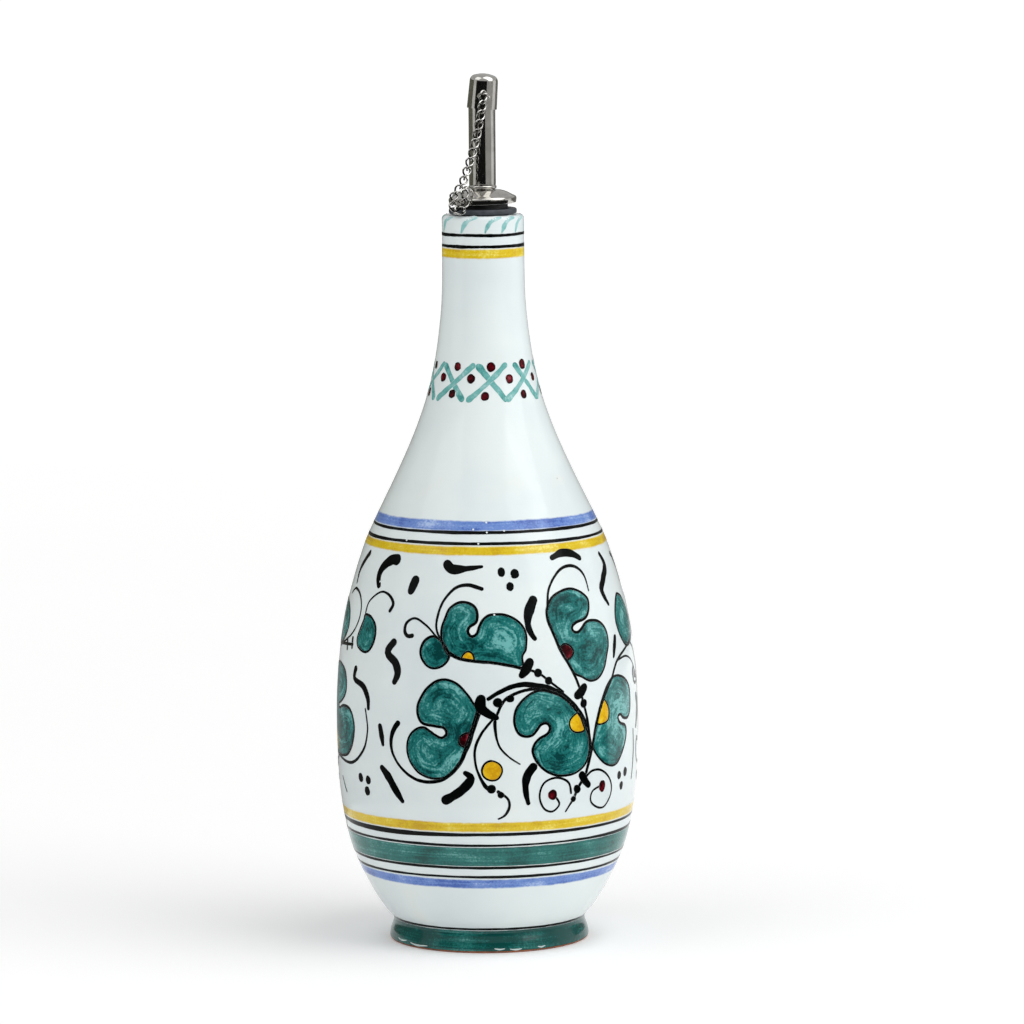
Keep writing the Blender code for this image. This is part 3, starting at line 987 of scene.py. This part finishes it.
# Free brush strokes: widths along the stroke, load along the stroke, places.
COMMAS = [
    ((1.6, 1.8, 0.9), (0.95, 0.7), [(-68, 139.5), (-72.5, 136), (-76, 132), (-75, 127.5)]),
    ((3.0, 2.8, 2.2, 1.6), (1, 1), [(-42.5, 138), (-48, 138), (-53.5, 135), (-54.8, 131.5), (-52.5, 128)]),
    ((2.3, 2.6, 2.0), (1, 0.95), [(-31.7, 133.5), (-34.2, 127)]),
    ((2.4, 2.6, 1.3, 0.7), (1, 0.9), [(-18.8, 139), (-15.5, 136.3), (-10, 136.3), (-1, 137.2)]),
    ((1.3, 2.2, 1.5), (0.9, 1), [(31, 138.8), (38, 140.4), (44, 139.8), (49.5, 137.6)]),
    ((1.3, 2.2, 2.0, 1.0), (0.9, 0.8, 1), [
        (65, 138.8), (67.5, 134), (62, 129.5), (58.5, 126), (61.5, 120.5),
    ]),
    ((1.3, 2.2, 1.0), (1, 0.9), [(80.5, 137.2), (85, 134.6), (87.5, 130), (86, 126.2)]),
    ((2.2, 2.4, 1.2), (1, 0.9), [(79.6, 87.8), (82, 83.6), (80.6, 79), (78.5, 75.4)]),
    ((1.8, 2.4, 1.1), (0.9, 1), [(83, 58.8), (88, 57.4), (94, 58.6)]),
    ((2.4, 2.7, 1.7, 1.2), (0.75, 0.5, 0.85), [(21, 126.8), (17.5, 121), (17.2, 116), (20, 111.8)]),
    ((1.3, 1.6, 0.8), (0.9, 0.8), [(62, 110.5), (58.5, 102.5)]),
    ((2.0, 2.2, 2.4, 1.5), (1, 0.9), [(-38, 111.5), (-41.8, 107), (-37.5, 103.5), (-36.2, 100), (-38, 96)]),
    ((1.7, 1.5, 2.0, 1.2), (1, 0.9), [(-60.5, 100.5), (-61.5, 96), (-55, 94), (-51.5, 90), (-51, 85.8)]),
    ((1.5, 1.7, 1.0), (1, 0.9), [(-44.5, 82), (-42.8, 74)]),
    ((1.6, 2.4, 2.2, 1.2), (1, 0.75, 1), [(-44.5, 67.2), (-40.5, 63.5), (-37.5, 59.5), (-33.8, 54.8)]),
    ((1.2, 2.6, 2.4, 2.6), (1, 0.8, 1), [(-9, 67), (-6.2, 64.6), (-10, 60.3), (-17.5, 56)]),
    ((2.4, 2.4, 1.6, 1.1), (1, 0.8, 0.95), [(18.5, 69.3), (15, 65), (14.5, 60), (15.8, 54.8)]),
    ((0.5, 0.7, 0.5), (0.6, 0.8), [(74, 76), (74.8, 68), (73, 58)]),
    ((0.5, 0.6), (0.7, 0.5), [(-75, 60), (-70.5, 54.5)]),
]
TRIPLE_DOTS = [
    (7.0, 135.2), (13.0, 134.6), (10.5, 130.3), (-57.0, 61.5), (-52.0, 61.2), (-53.0, 57.2),
    (60.5, 61.2), (65.5, 61.8), (62.6, 57.2),
]
TENDRILS = [
    ((0.5, 0.6, 1.0), (0.9, 0.6, 1), [
        (-15.2, 108.6), (-17.6, 111.8), (-20, 115.7), (-20, 120), (-18, 125.3), (-13.5, 129.7), (-8.4, 131),
        (-3.5, 130.2), (-0.9, 129.4),
    ]),
    ((0.5, 0.5, 1.1), (1, 1), [
        (-14.6, 108.2), (-16.9, 111), (-20.3, 113.7), (-24.7, 117.1), (-29.7, 119.2), (-33.6, 117.6),
        (-34.2, 114.6), (-32.5, 113), (-29.7, 113.5),
    ]),
    ((0.6, 0.6, 0.8, 0.4), (1, 0.9, 0.9, 0.3), [
        (26, 121.5), (27.5, 127.9), (31.7, 132.8), (37.7, 135.7), (44.4, 135.3), (48.6, 132), (49.3, 126.5),
    ]),
    ((0.6, 0.7, 0.6, 1.2), (0.8, 0.9, 1), [
        (2.5, 85.5), (-2, 80.4), (-4.3, 75.7), (-4.6, 71.7), (-3.6, 67), (-0.8, 62), (2.2, 60.3),
    ]),
    ((0.9, 0.6, 0.7, 0.4), (1, 0.7, 0.4), [
        (3.5, 60.3), (7.5, 57.5), (8.3, 54.7), (6.8, 51.7), (3.8, 50.2),
    ]),
    ((0.9, 0.5, 0.35), (0.9, 0.7, 0.3), [(3, 85), (3.3, 80.3), (4.7, 75.6), (7.9, 72.2), (12.5, 69.2)]),
    ((0.5, 0.5, 1.0), (0.9, 1), [
        (-58.5, 117.5), (-58, 122.4), (-53.6, 125.7), (-49, 127), (-44.3, 125.7), (-42, 123.3),
        (-43.6, 120.4),
    ]),
    ((0.7, 0.5, 0.6), (0.9, 1), [
        (-79, 123.8), (-74.4, 126.1), (-67.6, 124.8), (-63.2, 120.6), (-63.6, 115.2), (-69.3, 110),
        (-84, 104.8),
    ]),
    ((0.5, 0.8, 0.5), (0.7, 1, 0.8), [
        (-53, 86.5), (-51.5, 79), (-54.5, 71.5), (-63, 66.2), (-75, 66.3), (-86, 68),
    ]),
    ((0.6, 0.5, 0.5), (1, 0.9), [
        (33.5, 57.5), (32, 61.8), (27, 63.8), (22, 62.5), (20, 58.2), (21.7, 53.5), (25.5, 52),
        (28.3, 54.3), (26.8, 57),
    ]),
    ((0.6, 0.5, 0.5), (1, 0.9), [
        (39.6, 62.5), (43.6, 64.8), (49, 64.2), (54, 60.4), (55, 55.6), (51.2, 51.3), (46.6, 51.7),
        (43.1, 54.2), (43.9, 57.6), (48.3, 59),
    ]),
    ((0.6, 0.6, 1.0), (0.9, 1), [
        (77, 106.4), (81.6, 103.4), (85, 99), (84.8, 94.4), (81.6, 91.4), (77.8, 92.2), (76.8, 95.6),
        (79.2, 97.8),
    ]),
    ((0.7, 0.6, 1.1), (1, 0.9, 1), [
        (-79, 67.4), (-85.5, 63.8), (-92.5, 62.6), (-98.5, 64.4), (-101, 68.4), (-98.8, 71.6), (-96, 70.4),
    ]),
    ((0.5, 0.4), (0.7, 0.4), [(61, 101.5), (70, 102), (78, 98.5), (84, 91)]),
]
STEMS = [
    ((0.8, 0.9, 1.5, 1.0), (1, 1), [
        (40.2, 64), (42, 70.5), (42.4, 74.6), (40.7, 80.8), (37.1, 86.4), (31.2, 91.6), (24.8, 95),
        (18.7, 96.4), (14.2, 97), (9.7, 96.4), (5.3, 94.8), (0, 92),
    ]),
    ((0.7, 0.8, 0.7), (1, 0.9), [
        (28, 92.8), (21.7, 94.8), (17.1, 95.2), (12.6, 94.5), (8.2, 92.8), (6, 90.9), (3.5, 86.3),
    ]),
    ((0.6, 0.6), (0.9, 0.8), [(13.5, 102.8), (20, 100.7), (24.2, 97.8), (30.5, 93.3)]),
    ((0.6, 0.8, 0.7, 0.8), (1, 1), [
        (25.4, 121), (25.6, 118), (27.5, 113.7), (30, 107.9), (32.9, 103.5), (35.6, 99), (37.8, 94),
        (39.2, 88.9), (40.7, 84), (41.7, 78.7), (42.2, 71),
    ]),
    ((0.6, 0.8, 0.8), (1, 1), [
        (84, 110), (76.7, 106.8), (62, 102), (56, 95.8), (50.4, 89.8), (46.7, 83.5), (44, 75.7),
        (42.6, 70.5), (40.2, 64),
    ]),
    ((1.0, 0.8, 0.4), (1, 0.9, 0.5), [(40.2, 64.5), (38.4, 61.8), (36.2, 59), (34.4, 55.6), (31, 51.3)]),
    ((1.5, 1.1, 0.9, 0.7, 1.5), (1, 1), [
        (-2.8, 88.5), (-5.5, 81), (-7.8, 75), (-10, 70.3), (-13.7, 66.2), (-18.2, 63.6), (-24.4, 63),
        (-30.1, 64.5), (-35.1, 68), (-38.2, 72.2), (-38.8, 76.2), (-37.5, 80.3), (-34.7, 83.5),
    ]),
    ((0.9, 0.7, 0.8), (1, 1), [
        (-15, 108.4), (-11, 106.3), (-4.5, 105.2), (3, 104.6), (10, 103.4), (14, 102.4),
    ]),
]
KNOTS = [
    ((2.2, 2.8, 1.6), [(17.7, 105.8), (14.8, 101.5), (12.6, 99.4)]),
    ((1.8, 2.8, 2.2), [(41, 95.4), (38, 92.6), (35, 91.3)]),
    ((2.6, 3.0, 2.2, 1.4), [(-1.6, 93.8), (-2.4, 89.8), (0.2, 87.4), (4.5, 85.4)]),
    ((2.6, 2.4), [(3.6, 92.6), (4.7, 89.4)]),
    ((1.6, 2.0), [(7.2, 92.0), (10.4, 92.5)]),
    ((2.2, 2.2, 1.6), [(37.4, 65), (39.6, 61.9), (42.5, 59.2)]),
    ((1.8, 2.4), [(35, 60.4), (37.2, 57.8)]),
    ((2.2, 2.6), [(2.8, 62.0), (0.2, 59.9)]),
    ((2.0, 2.2), [(-84.6, 65.4), (-86.8, 62)]),
    ((1.1, 0.9), [(-72, 109), (-71, 104.6)]),
    ((1.1, 0.9), [(-66.4, 110.2), (-66, 105.6)]),
    ((0.8, 0.7), [(-79, 106.4), (-65, 107.4)]),
]
KNOT_DOTS = [(20.0, 100.7, 1.5), (24.2, 97.8, 1.4), (39.4, 88.8, 1.5), (34.5, 55.7, 1.1), (5.0, 58.8, 1.2)]

# Small band on the neck: where its falling and rising strokes start, in degrees, and its dots.
FALLING = [-51, -8, 36, 75, 114, 153, 192, 231, 270]
RISING = [-55.5, -18, 22, 63, 103, 143, 184, 224, 264]
DOT_ROWS = {
    204.0: [-31.7, 8.1, 49.5, 90, 130, 169, 209, 248, 288],
    199.4: [-50.8, -14.5, 28.6, 66.4, 109, 149, 188, 228, 268],
    194.0: [-34.8, 0.8, 43.8, 84, 124, 163, 203, 243, 284],
}
RIM_STROKES = [-51, -11, 24, 48, 72, 101, 131, 163, 195, 226, 257, 283]

# Each kind of stroke: how far round from its start, and the height. The falling one's first
# number is a share of its width.
FALLING_PATH = [(0, 204.8), (0.5, 198.6), (1, 191.8)]
RISING_PATH = [(0, 191.9), (22, 198.2), (45, 204.9)]
RIM_PATH = [(4, 255.4), (-8, 254.8), (-16, 252.8), (-21, 249.9)]

# Painted highlights: pale glints along the foot's lower edge, as (start, end, height), and glints on
# pinholes.
FOOT_GLINTS = [
    (-66, -56, 2.4), (-52, -38, 1.9), (3, 9, 2.0), (12, 19, 1.7), (29, 34, 2.0), (96, 108, 2.2),
    (141, 149, 1.8), (170, 186, 2.2), (214, 222, 1.8), (247, 262, 2.3),
]
# Painted highlights: the places of glints on pinholes.
PINHOLE_GLINTS = [
    (0.6, 151.7), (-6.2, 149.4), (9.6, 148.9), (0.8, 148.4), (-3.4, 144.7), (-42, 144.9), (-53, 130.2),
    (10.9, 133.9), (3.4, 121), (-3.6, 124.7), (96, 149.8), (171, 144.4), (203, 121), (246, 148.4),
]

# The brush's widths and loads along the thin lines round leaves and touches.
LEAF_LINE = ((0.55, 0.7, 0.5, 0.65), (1, 0.85))
TOUCH_LINE = ((0.35, 0.5), (0.9, 1))
PINHOLE_GLINT_RADIUS = 0.32
SMALL_DOT = 1.4
CROSS_WIDTH = 29
CROSS_WOBBLE = 0.14


def loosened(draw, path, turn, slack):
    """The path turned round the bottle, and not quite the same when it is painted again."""
    return [
        (degrees + turn + slack * draw.uniform(-1, 1), height + slack * draw.uniform(-1, 1))
        for degrees, height in path
    ]


def paint_spray(draw, turn, slack):
    """Half of the broad ornament: leaves on a branching stem with strokes and dots between."""
    for outline in LEAVES.values():
        shape = loosened(draw, outline, turn, slack * 0.3)
        brushed_patch(leaf_film, shape)
        brush_stroke(ink_film, shape, *LEAF_LINE, closed=True)
    for film, touches in ((spot_film, YELLOW_TOUCHES), (red_film, RED_TOUCHES)):
        for outline in touches:
            shape = loosened(draw, outline, turn, slack * 0.15)
            brushed_patch(film, shape, DOT_LIFT)
            brush_stroke(ink_film, shape, *TOUCH_LINE, closed=True)
    for degrees, height, radius, stretch in RED_DOTS:
        round_dot(red_film, degrees + turn, height, radius, KNOT_LIFT, stretch)
    for widths, loads, path in COMMAS + TENDRILS + STEMS:
        brush_stroke(ink_film, loosened(draw, path, turn, slack * 0.4), widths, loads)
    for widths, path in KNOTS:
        brush_stroke(ink_film, loosened(draw, path, turn, slack * 0.2), widths, lift=KNOT_LIFT)
    for degrees, height in TRIPLE_DOTS:
        round_dot(ink_film, degrees + turn, height, SMALL_DOT + draw.uniform(-0.1, 0.15), LINE_LIFT, 1.15)
    for degrees, height, radius in KNOT_DOTS:
        round_dot(ink_film, degrees + turn, height, radius, KNOT_LIFT)


def paint_neck(draw):
    for start, rising in zip(FALLING, RISING):
        width = CROSS_WIDTH + draw.uniform(-1, 3)
        path = [(start + width * share, height) for share, height in FALLING_PATH]
        brush_stroke(teal_film, path, (1.8, 1.4, 1.9), (1.15, 0.8, 1.15), DOT_LIFT, wobble=CROSS_WOBBLE)
        path = [(rising + degrees, height) for degrees, height in RISING_PATH]
        brush_stroke(teal_film, path, (1.7, 1.3, 1.6), (0.95, 0.65, 0.85), wobble=CROSS_WOBBLE)
    for height, dots in DOT_ROWS.items():
        for degrees in dots:
            radius = SMALL_DOT + draw.uniform(-0.1, 0.2)
            round_dot(red_film, degrees, height + draw.uniform(-0.4, 0.4), radius, KNOT_LIFT, 1.1)
    for start in RIM_STROKES:
        path = [(start + degrees, height) for degrees, height in RIM_PATH]
        widths, loads = (0.7, 1.4, 1.6, 0.7), (0.6, 0.7, 0.9, 1.1)
        brush_stroke(rim_film, path, widths, loads, FILL_LIFT, wobble=CROSS_WOBBLE)


leaf_film = Film("painted_leaves", green)
ink_film = Film("painted_brush_strokes", black)
spot_film = Film("painted_yellow_touches", spot_yellow)
red_film = Film("painted_red_dots", red)
teal_film = Film("painted_neck_crosses", teal)
rim_film = Film("painted_rim_strokes", rim_teal)
glint_film = Film("painted_glaze_glints", pale)
loose = random.Random(11)
# Painted highlights: pale glints along the foot, then pale dots for glints on pinholes.
for start, end, height in FOOT_GLINTS:
    path = [(start, height - 0.3), ((start + end) / 2, height - 0.65), (end, height - 0.4)]
    brush_stroke(glint_film, path, (0.08, 0.3, 0.08), (0.3, 0.7, 0.3), KNOT_LIFT, wobble=0.12)
for degrees, height in PINHOLE_GLINTS:
    round_dot(glint_film, degrees, height, PINHOLE_GLINT_RADIUS, KNOT_LIFT)
paint_spray(loose, 0, 0.0)
paint_spray(loose, 180, 1.0)
paint_neck(loose)
for film in (leaf_film, ink_film, spot_film, red_film, teal_film, rim_film, glint_film):
    film.done()


# The pourer

def stopper_outline():
    fin_bottom = MOUTH_TOP + GAP
    edge = (FIN_TOP - fin_bottom - FIN_FLAT) / 2
    plug_bottom = MOUTH_TOP - PLUG_DEPTH
    outline = [(STEM_TOP, 0.0), (STEM_TOP, STEM_RADIUS), (FIN_TOP, STEM_RADIUS)]
    outline += arc(FIN_TOP - edge, FIN_RADIUS - edge, edge, 90, 0, 8)
    outline += arc(fin_bottom + edge, FIN_RADIUS - edge, edge, 0, -90, 8)
    outline += [(fin_bottom, PLUG_RADIUS), (plug_bottom + PLUG_CHAMFER, PLUG_RADIUS)]
    return outline + [(plug_bottom, PLUG_RADIUS - PLUG_CHAMFER), (plug_bottom, 0.0)]


def dome_height(radius):
    rim_top = STEM_TOP + GAP + DISC_RIM
    share = (radius - DISC_HOLE) / (DISC_RADIUS - DISC_EDGE - DISC_HOLE)
    return rim_top + (DISC_TOP - rim_top) * (1 - share**2)


def disc_outline():
    bottom = STEM_TOP + GAP
    rim_top = bottom + DISC_RIM
    shoulder_radius = DISC_RADIUS - DISC_EDGE
    outline = []
    for k in range(18):
        radius = DISC_HOLE + (shoulder_radius - DISC_HOLE) * k / 18
        outline.append((dome_height(radius), radius))
    outline += arc(rim_top - DISC_EDGE, shoulder_radius, DISC_EDGE, 80, -DISC_UNDERCUT, 10)
    roll_height = bottom + DISC_ROLL
    wall = rim_top - DISC_EDGE - roll_height
    low_radius = DISC_RADIUS - wall * math.tan(math.radians(DISC_UNDERCUT))
    outline += arc(roll_height, low_radius - DISC_ROLL, DISC_ROLL, -DISC_UNDERCUT, -88, 6)
    return outline + [(bottom, DISC_HOLE), outline[0]]


def eye_points(link_start, link_end):
    """The eye's line: a half ring across the chain's last link, with its feet in the dome."""
    back = Vector((link_start.x - link_end.x, link_start.y - link_end.y, 0)).normalized()
    sideways = Vector((-back.y, back.x, 0))
    apex = link_end + EYE_BACK * back + Vector((0, 0, EYE_UP))
    foot = dome_height(math.hypot(apex.x, apex.y)) - 0.5
    points = [apex - EYE_RADIUS * sideways + Vector((0, 0, foot - apex.z))]
    steps = 20
    for k in range(steps + 1):
        angle = math.pi * k / steps
        rise = Vector((0, 0, EYE_RADIUS * (math.sin(angle) - 1)))
        points.append(apex - EYE_RADIUS * math.cos(angle) * sideways + rise)
    points.append(apex + EYE_RADIUS * sideways + Vector((0, 0, foot - apex.z)))
    return points


def tube_outline():
    outline = [(TIP_TOP, 0.0)]
    outline += arc(TIP_TOP - TIP_EDGE, TIP_RADIUS - TIP_EDGE, TIP_EDGE, 90, 0, 6)
    outline += [(TUBE_SHOULDER, TIP_RADIUS)]
    outline += arc(TUBE_SHOULDER - SHOULDER_EDGE, TUBE_RADIUS - SHOULDER_EDGE, SHOULDER_EDGE, 90, 0, 6)
    outline += [(BEAD_HEIGHT + BEAD_HALF + BEAD_FILLET, TUBE_RADIUS)]
    outline += arc(BEAD_HEIGHT, BEAD_RADIUS - BEAD_HALF, BEAD_HALF, 60, -90, 14)
    outline += [(BEAD_HEIGHT - BEAD_HALF, TUBE_FOOT_RADIUS)]
    return outline + [(TUBE_FOOT_BOTTOM, TUBE_FOOT_RADIUS), (TUBE_FOOT_BOTTOM, 0.0)]


def lug_points():
    """The bent wire's line: a half ring that stands out from the cap's front and rises."""
    wall = CAP_BOTTOM_RADIUS - CAP_WALL / 2
    points = []
    steps = 24
    for k in range(steps + 1):
        angle = math.pi * k / steps
        out = math.sin(angle)
        x = LUG_SIDE - LUG_HALF_WIDTH * math.cos(angle)
        foot_y = -math.sqrt(wall**2 - (x - LUG_SIDE) ** 2)
        points.append((x, foot_y - LUG_REACH * out, LUG_HEIGHT + LUG_RISE * out))
    return points


def cap_outline():
    inner_top = HEIGHT - CAP_ROOF
    outline = [(HEIGHT, 0.0), (HEIGHT - CAP_CROWN / 3, CAP_TOP_RADIUS / 3)]
    outline += arc(HEIGHT - CAP_CROWN - CAP_EDGE, CAP_TOP_RADIUS - CAP_EDGE, CAP_EDGE, 78, 0, 14)
    outline += [(CAP_BOTTOM, CAP_BOTTOM_RADIUS), (CAP_BOTTOM, CAP_BOTTOM_RADIUS - CAP_WALL)]
    return outline + [(inner_top, CAP_TOP_RADIUS - CAP_WALL), (inner_top, 0.0)]


def hooks(route, pitch):
    """Where neighbouring links meet: points along the route, one straight pitch apart."""
    found = [Vector(route[0])]
    for point in curve_points(route, ROUTE_STEPS):
        if (point - found[-1]).length >= pitch:
            found.append(found[-1] + (point - found[-1]).normalized() * pitch)
    return found


def link_shape():
    """One link about the origin, its length along Z: an oval whose two ends turn apart.

    It carries painted shade: the inner side of the wire, at -1, is darkened, and the outer side is not.
    """
    end_radius = (LINK_WIDTH - LINK_WIRE) / 2
    end_centre = (LINK_LENGTH - LINK_WIRE) / 2 - end_radius
    points = []
    for end in (1, -1):
        for k in range(5):
            angle = math.pi * k / 4
            across = end * end_radius * math.cos(angle)
            along = end * (end_centre + end_radius * math.sin(angle))
            twist = end * LINK_TWIST
            points.append((across * math.cos(twist), across * math.sin(twist), along))
        points.append((-end * end_radius, 0.0, 0.0))
    link = wire_shape(curve_points(points, 4, closed=True), LINK_WIRE + WIRE_PLATING, True, 4)
    # Painted shade: each vertex keeps which side of the wire it is on, -1 inside to darken, +1 outside.
    shade_side = link.verts.layers.float.new("shade_side")
    for vert in link.verts:
        x, y, z = vert.co / MM
        out = math.hypot(x, y, max(abs(z) - end_centre, 0))
        vert[shade_side] = (out - end_radius) * 2 / LINK_WIRE
    return link


def chain_shape(places):
    """Each link faces away from a point on the axis that lies FACE_LIFT below it."""
    whole = bmesh.new()
    whole.verts.layers.float.new("shade_side")
    for start, end in zip(places, places[1:]):
        along = (start - end).normalized()
        middle = (start + end) / 2
        outward = Vector((middle.x, middle.y, FACE_LIFT))
        face = (outward - outward.dot(along) * along).normalized()
        across = face.cross(along)
        turn = Matrix((across, face, along)).transposed().to_4x4()
        link = link_shape()
        bmesh.ops.transform(link, matrix=Matrix.Translation(middle * MM) @ turn, verts=link.verts)
        add_shape(whole, link)
    return whole


piece("rubber_stopper", turned(stopper_outline(), SMALL_SEGMENTS), rubber, ["stopper"])

places = hooks(CHAIN_ROUTE, LINK_PITCH)
disc_shape = turned(disc_outline(), SMALL_SEGMENTS)
turn_shape(disc_shape, STEM_TOP + GAP, -DISC_TILT)
add_shape(disc_shape, wire_shape(eye_points(places[-2], places[-1]), EYE_WIRE, False, 4))
piece("domed_disc", disc_shape, steel, ["pourer_disc"])

piece("pouring_tube", turned(tube_outline(), SMALL_SEGMENTS), steel, ["spout_tube"])

cap_shape = turned(cap_outline(), SMALL_SEGMENTS)
add_shape(cap_shape, wire_shape(lug_points(), LUG_WIRE + WIRE_PLATING, False, 4))
turn_shape(cap_shape, CAP_BOTTOM, CAP_LEAN)
piece("leaning_cap", cap_shape, steel, ["cap"])

link_names = [f"chain_link_{number:02d}" for number in range(1, len(places))]
piece("cap_chain", chain_shape(places), chain_steel, link_names)


# The stage

# The lights, as (place, width and length, power).
LIGHTS = {
    "left_light": ((-1.5, -0.8, 2.2), (1.8, 2.0), 11),
    "right_light": ((2.4, -1.3, 1.1), (1.8, 2.0), 19),
    "top_light": ((1.1, -0.5, 2.2), (2.2, 2.2), 24),
}
LIGHT_AIM = (0, 0, 0.15)
SKY_LIGHT = 0.505

# Bent cards that only reflections see: a near and a far edge, as (distance from the axis,
# height), the degrees round where the card starts and ends, and its shade.
STANDING = ((1.3, 0.0), (1.3, 0.6))
LYING = ((0.2, 0.002), (1.25, 0.002))
CARDS = {
    "front_card": (STANDING, -60, 28, (0.01, 0.01, 0.01)),
    "table_card": (LYING, -75, 100, (0.01, 0.01, 0.01)),
    "left_table_card": (LYING, -178, -75, (0.35, 0.35, 0.34)),
    "left_strip": (STANDING, -86, -60, (0.62, 0.62, 0.61)),
    "left_card": (STANDING, -178, -86, (0.13, 0.13, 0.105)),
    "right_card": (STANDING, 28, 84, (0.4, 0.4, 0.39)),
    "right_strip": (STANDING, 84, 116, (0.85, 0.85, 0.85)),
    "right_back_card": (STANDING, 116, 178, (0.2, 0.2, 0.19)),
}


def matt_finish(name, roughness):
    made, tree, shader = new_finish(name)
    shader["Roughness"].default_value = roughness
    shader["Specular IOR Level"].default_value = 0.0
    return made, tree, shader


def stage_floor():
    """A pale floor that glows a little more the farther it is from the bottle."""
    shape = bmesh.new()
    bmesh.ops.create_circle(shape, cap_ends=True, segments=96, radius=14)
    finish, tree, shader = matt_finish("pale_floor", 0.9)
    place = own_place(tree)
    cloud = grain(tree, place, scale=3)
    feed(tree, shader["Base Color"], blend(tree, cloud, (0.93, 0.93, 0.93, 1), (0.95, 0.95, 0.95, 1)))
    distance = tree.nodes.new("ShaderNodeVectorMath")
    distance.operation = "LENGTH"
    feed(tree, distance.inputs[0], place)
    glow = ease(tree, distance.outputs["Value"], -1.2, 4.0, 0.04, 0.57)
    shader["Emission Color"].default_value = (1, 1, 1, 1)
    feed(tree, shader["Emission Strength"], glow)
    made = new_object("floor", shape, finish)


def reflected_card(name, edges, start, end, shade):
    shape = bmesh.new()
    bmesh.ops.create_grid(shape, x_segments=16, y_segments=1, size=0.5)
    for vert in shape.verts:
        angle = math.radians(start + (vert.co.x + 0.5) * (end - start))
        share = vert.co.y + 0.5
        distance, height = (a + share * (b - a) for a, b in zip(*edges))
        vert.co = (distance * math.sin(angle), -distance * math.cos(angle), height)
    finish, _, shader = matt_finish(name, 1.0)
    shader["Base Color"].default_value = (*shade, 1)
    made = new_object(name, shape, finish)
    for kind in ("camera", "diffuse", "shadow", "transmission", "volume_scatter"):
        setattr(made, "visible_" + kind, False)


def soft_light(name, place, size, power):
    data = bpy.data.lights.new(name, "AREA")
    data.shape = "RECTANGLE"
    data.size, data.size_y = size
    data.energy = power
    made = bpy.data.objects.new(name, data)
    made.location = place
    made.rotation_euler = (Vector(LIGHT_AIM) - Vector(place)).to_track_quat("-Z", "Y").to_euler()
    bpy.context.scene.collection.objects.link(made)


def studio():
    world = bpy.data.worlds.new("studio")
    world.use_nodes = True
    background = world.node_tree.nodes["Background"]
    background.inputs["Color"].default_value = (1, 1, 1, 1)
    background.inputs["Strength"].default_value = SKY_LIGHT
    bpy.context.scene.world = world
    bpy.context.scene.view_settings.view_transform = "Standard"
    for name, light in LIGHTS.items():
        soft_light(name, *light)
    for name, card in CARDS.items():
        reflected_card(name, *card)


def photo_camera():
    data = bpy.data.cameras.new("photo_camera")
    data.sensor_width = SENSOR
    data.lens = FOCAL_PIXELS / PHOTO_SIZE * SENSOR
    data.clip_end = 100
    made = bpy.data.objects.new("photo_camera", data)
    turn = Matrix.Rotation(math.pi / 2 - CAMERA_PITCH, 4, "X") @ Matrix.Rotation(-CAMERA_ROLL, 4, "Z")
    made.matrix_world = Matrix.Translation(CAMERA_PLACE) @ turn
    bpy.context.scene.collection.objects.link(made)
    bpy.context.scene.camera = made


stage_floor()
studio()
photo_camera()
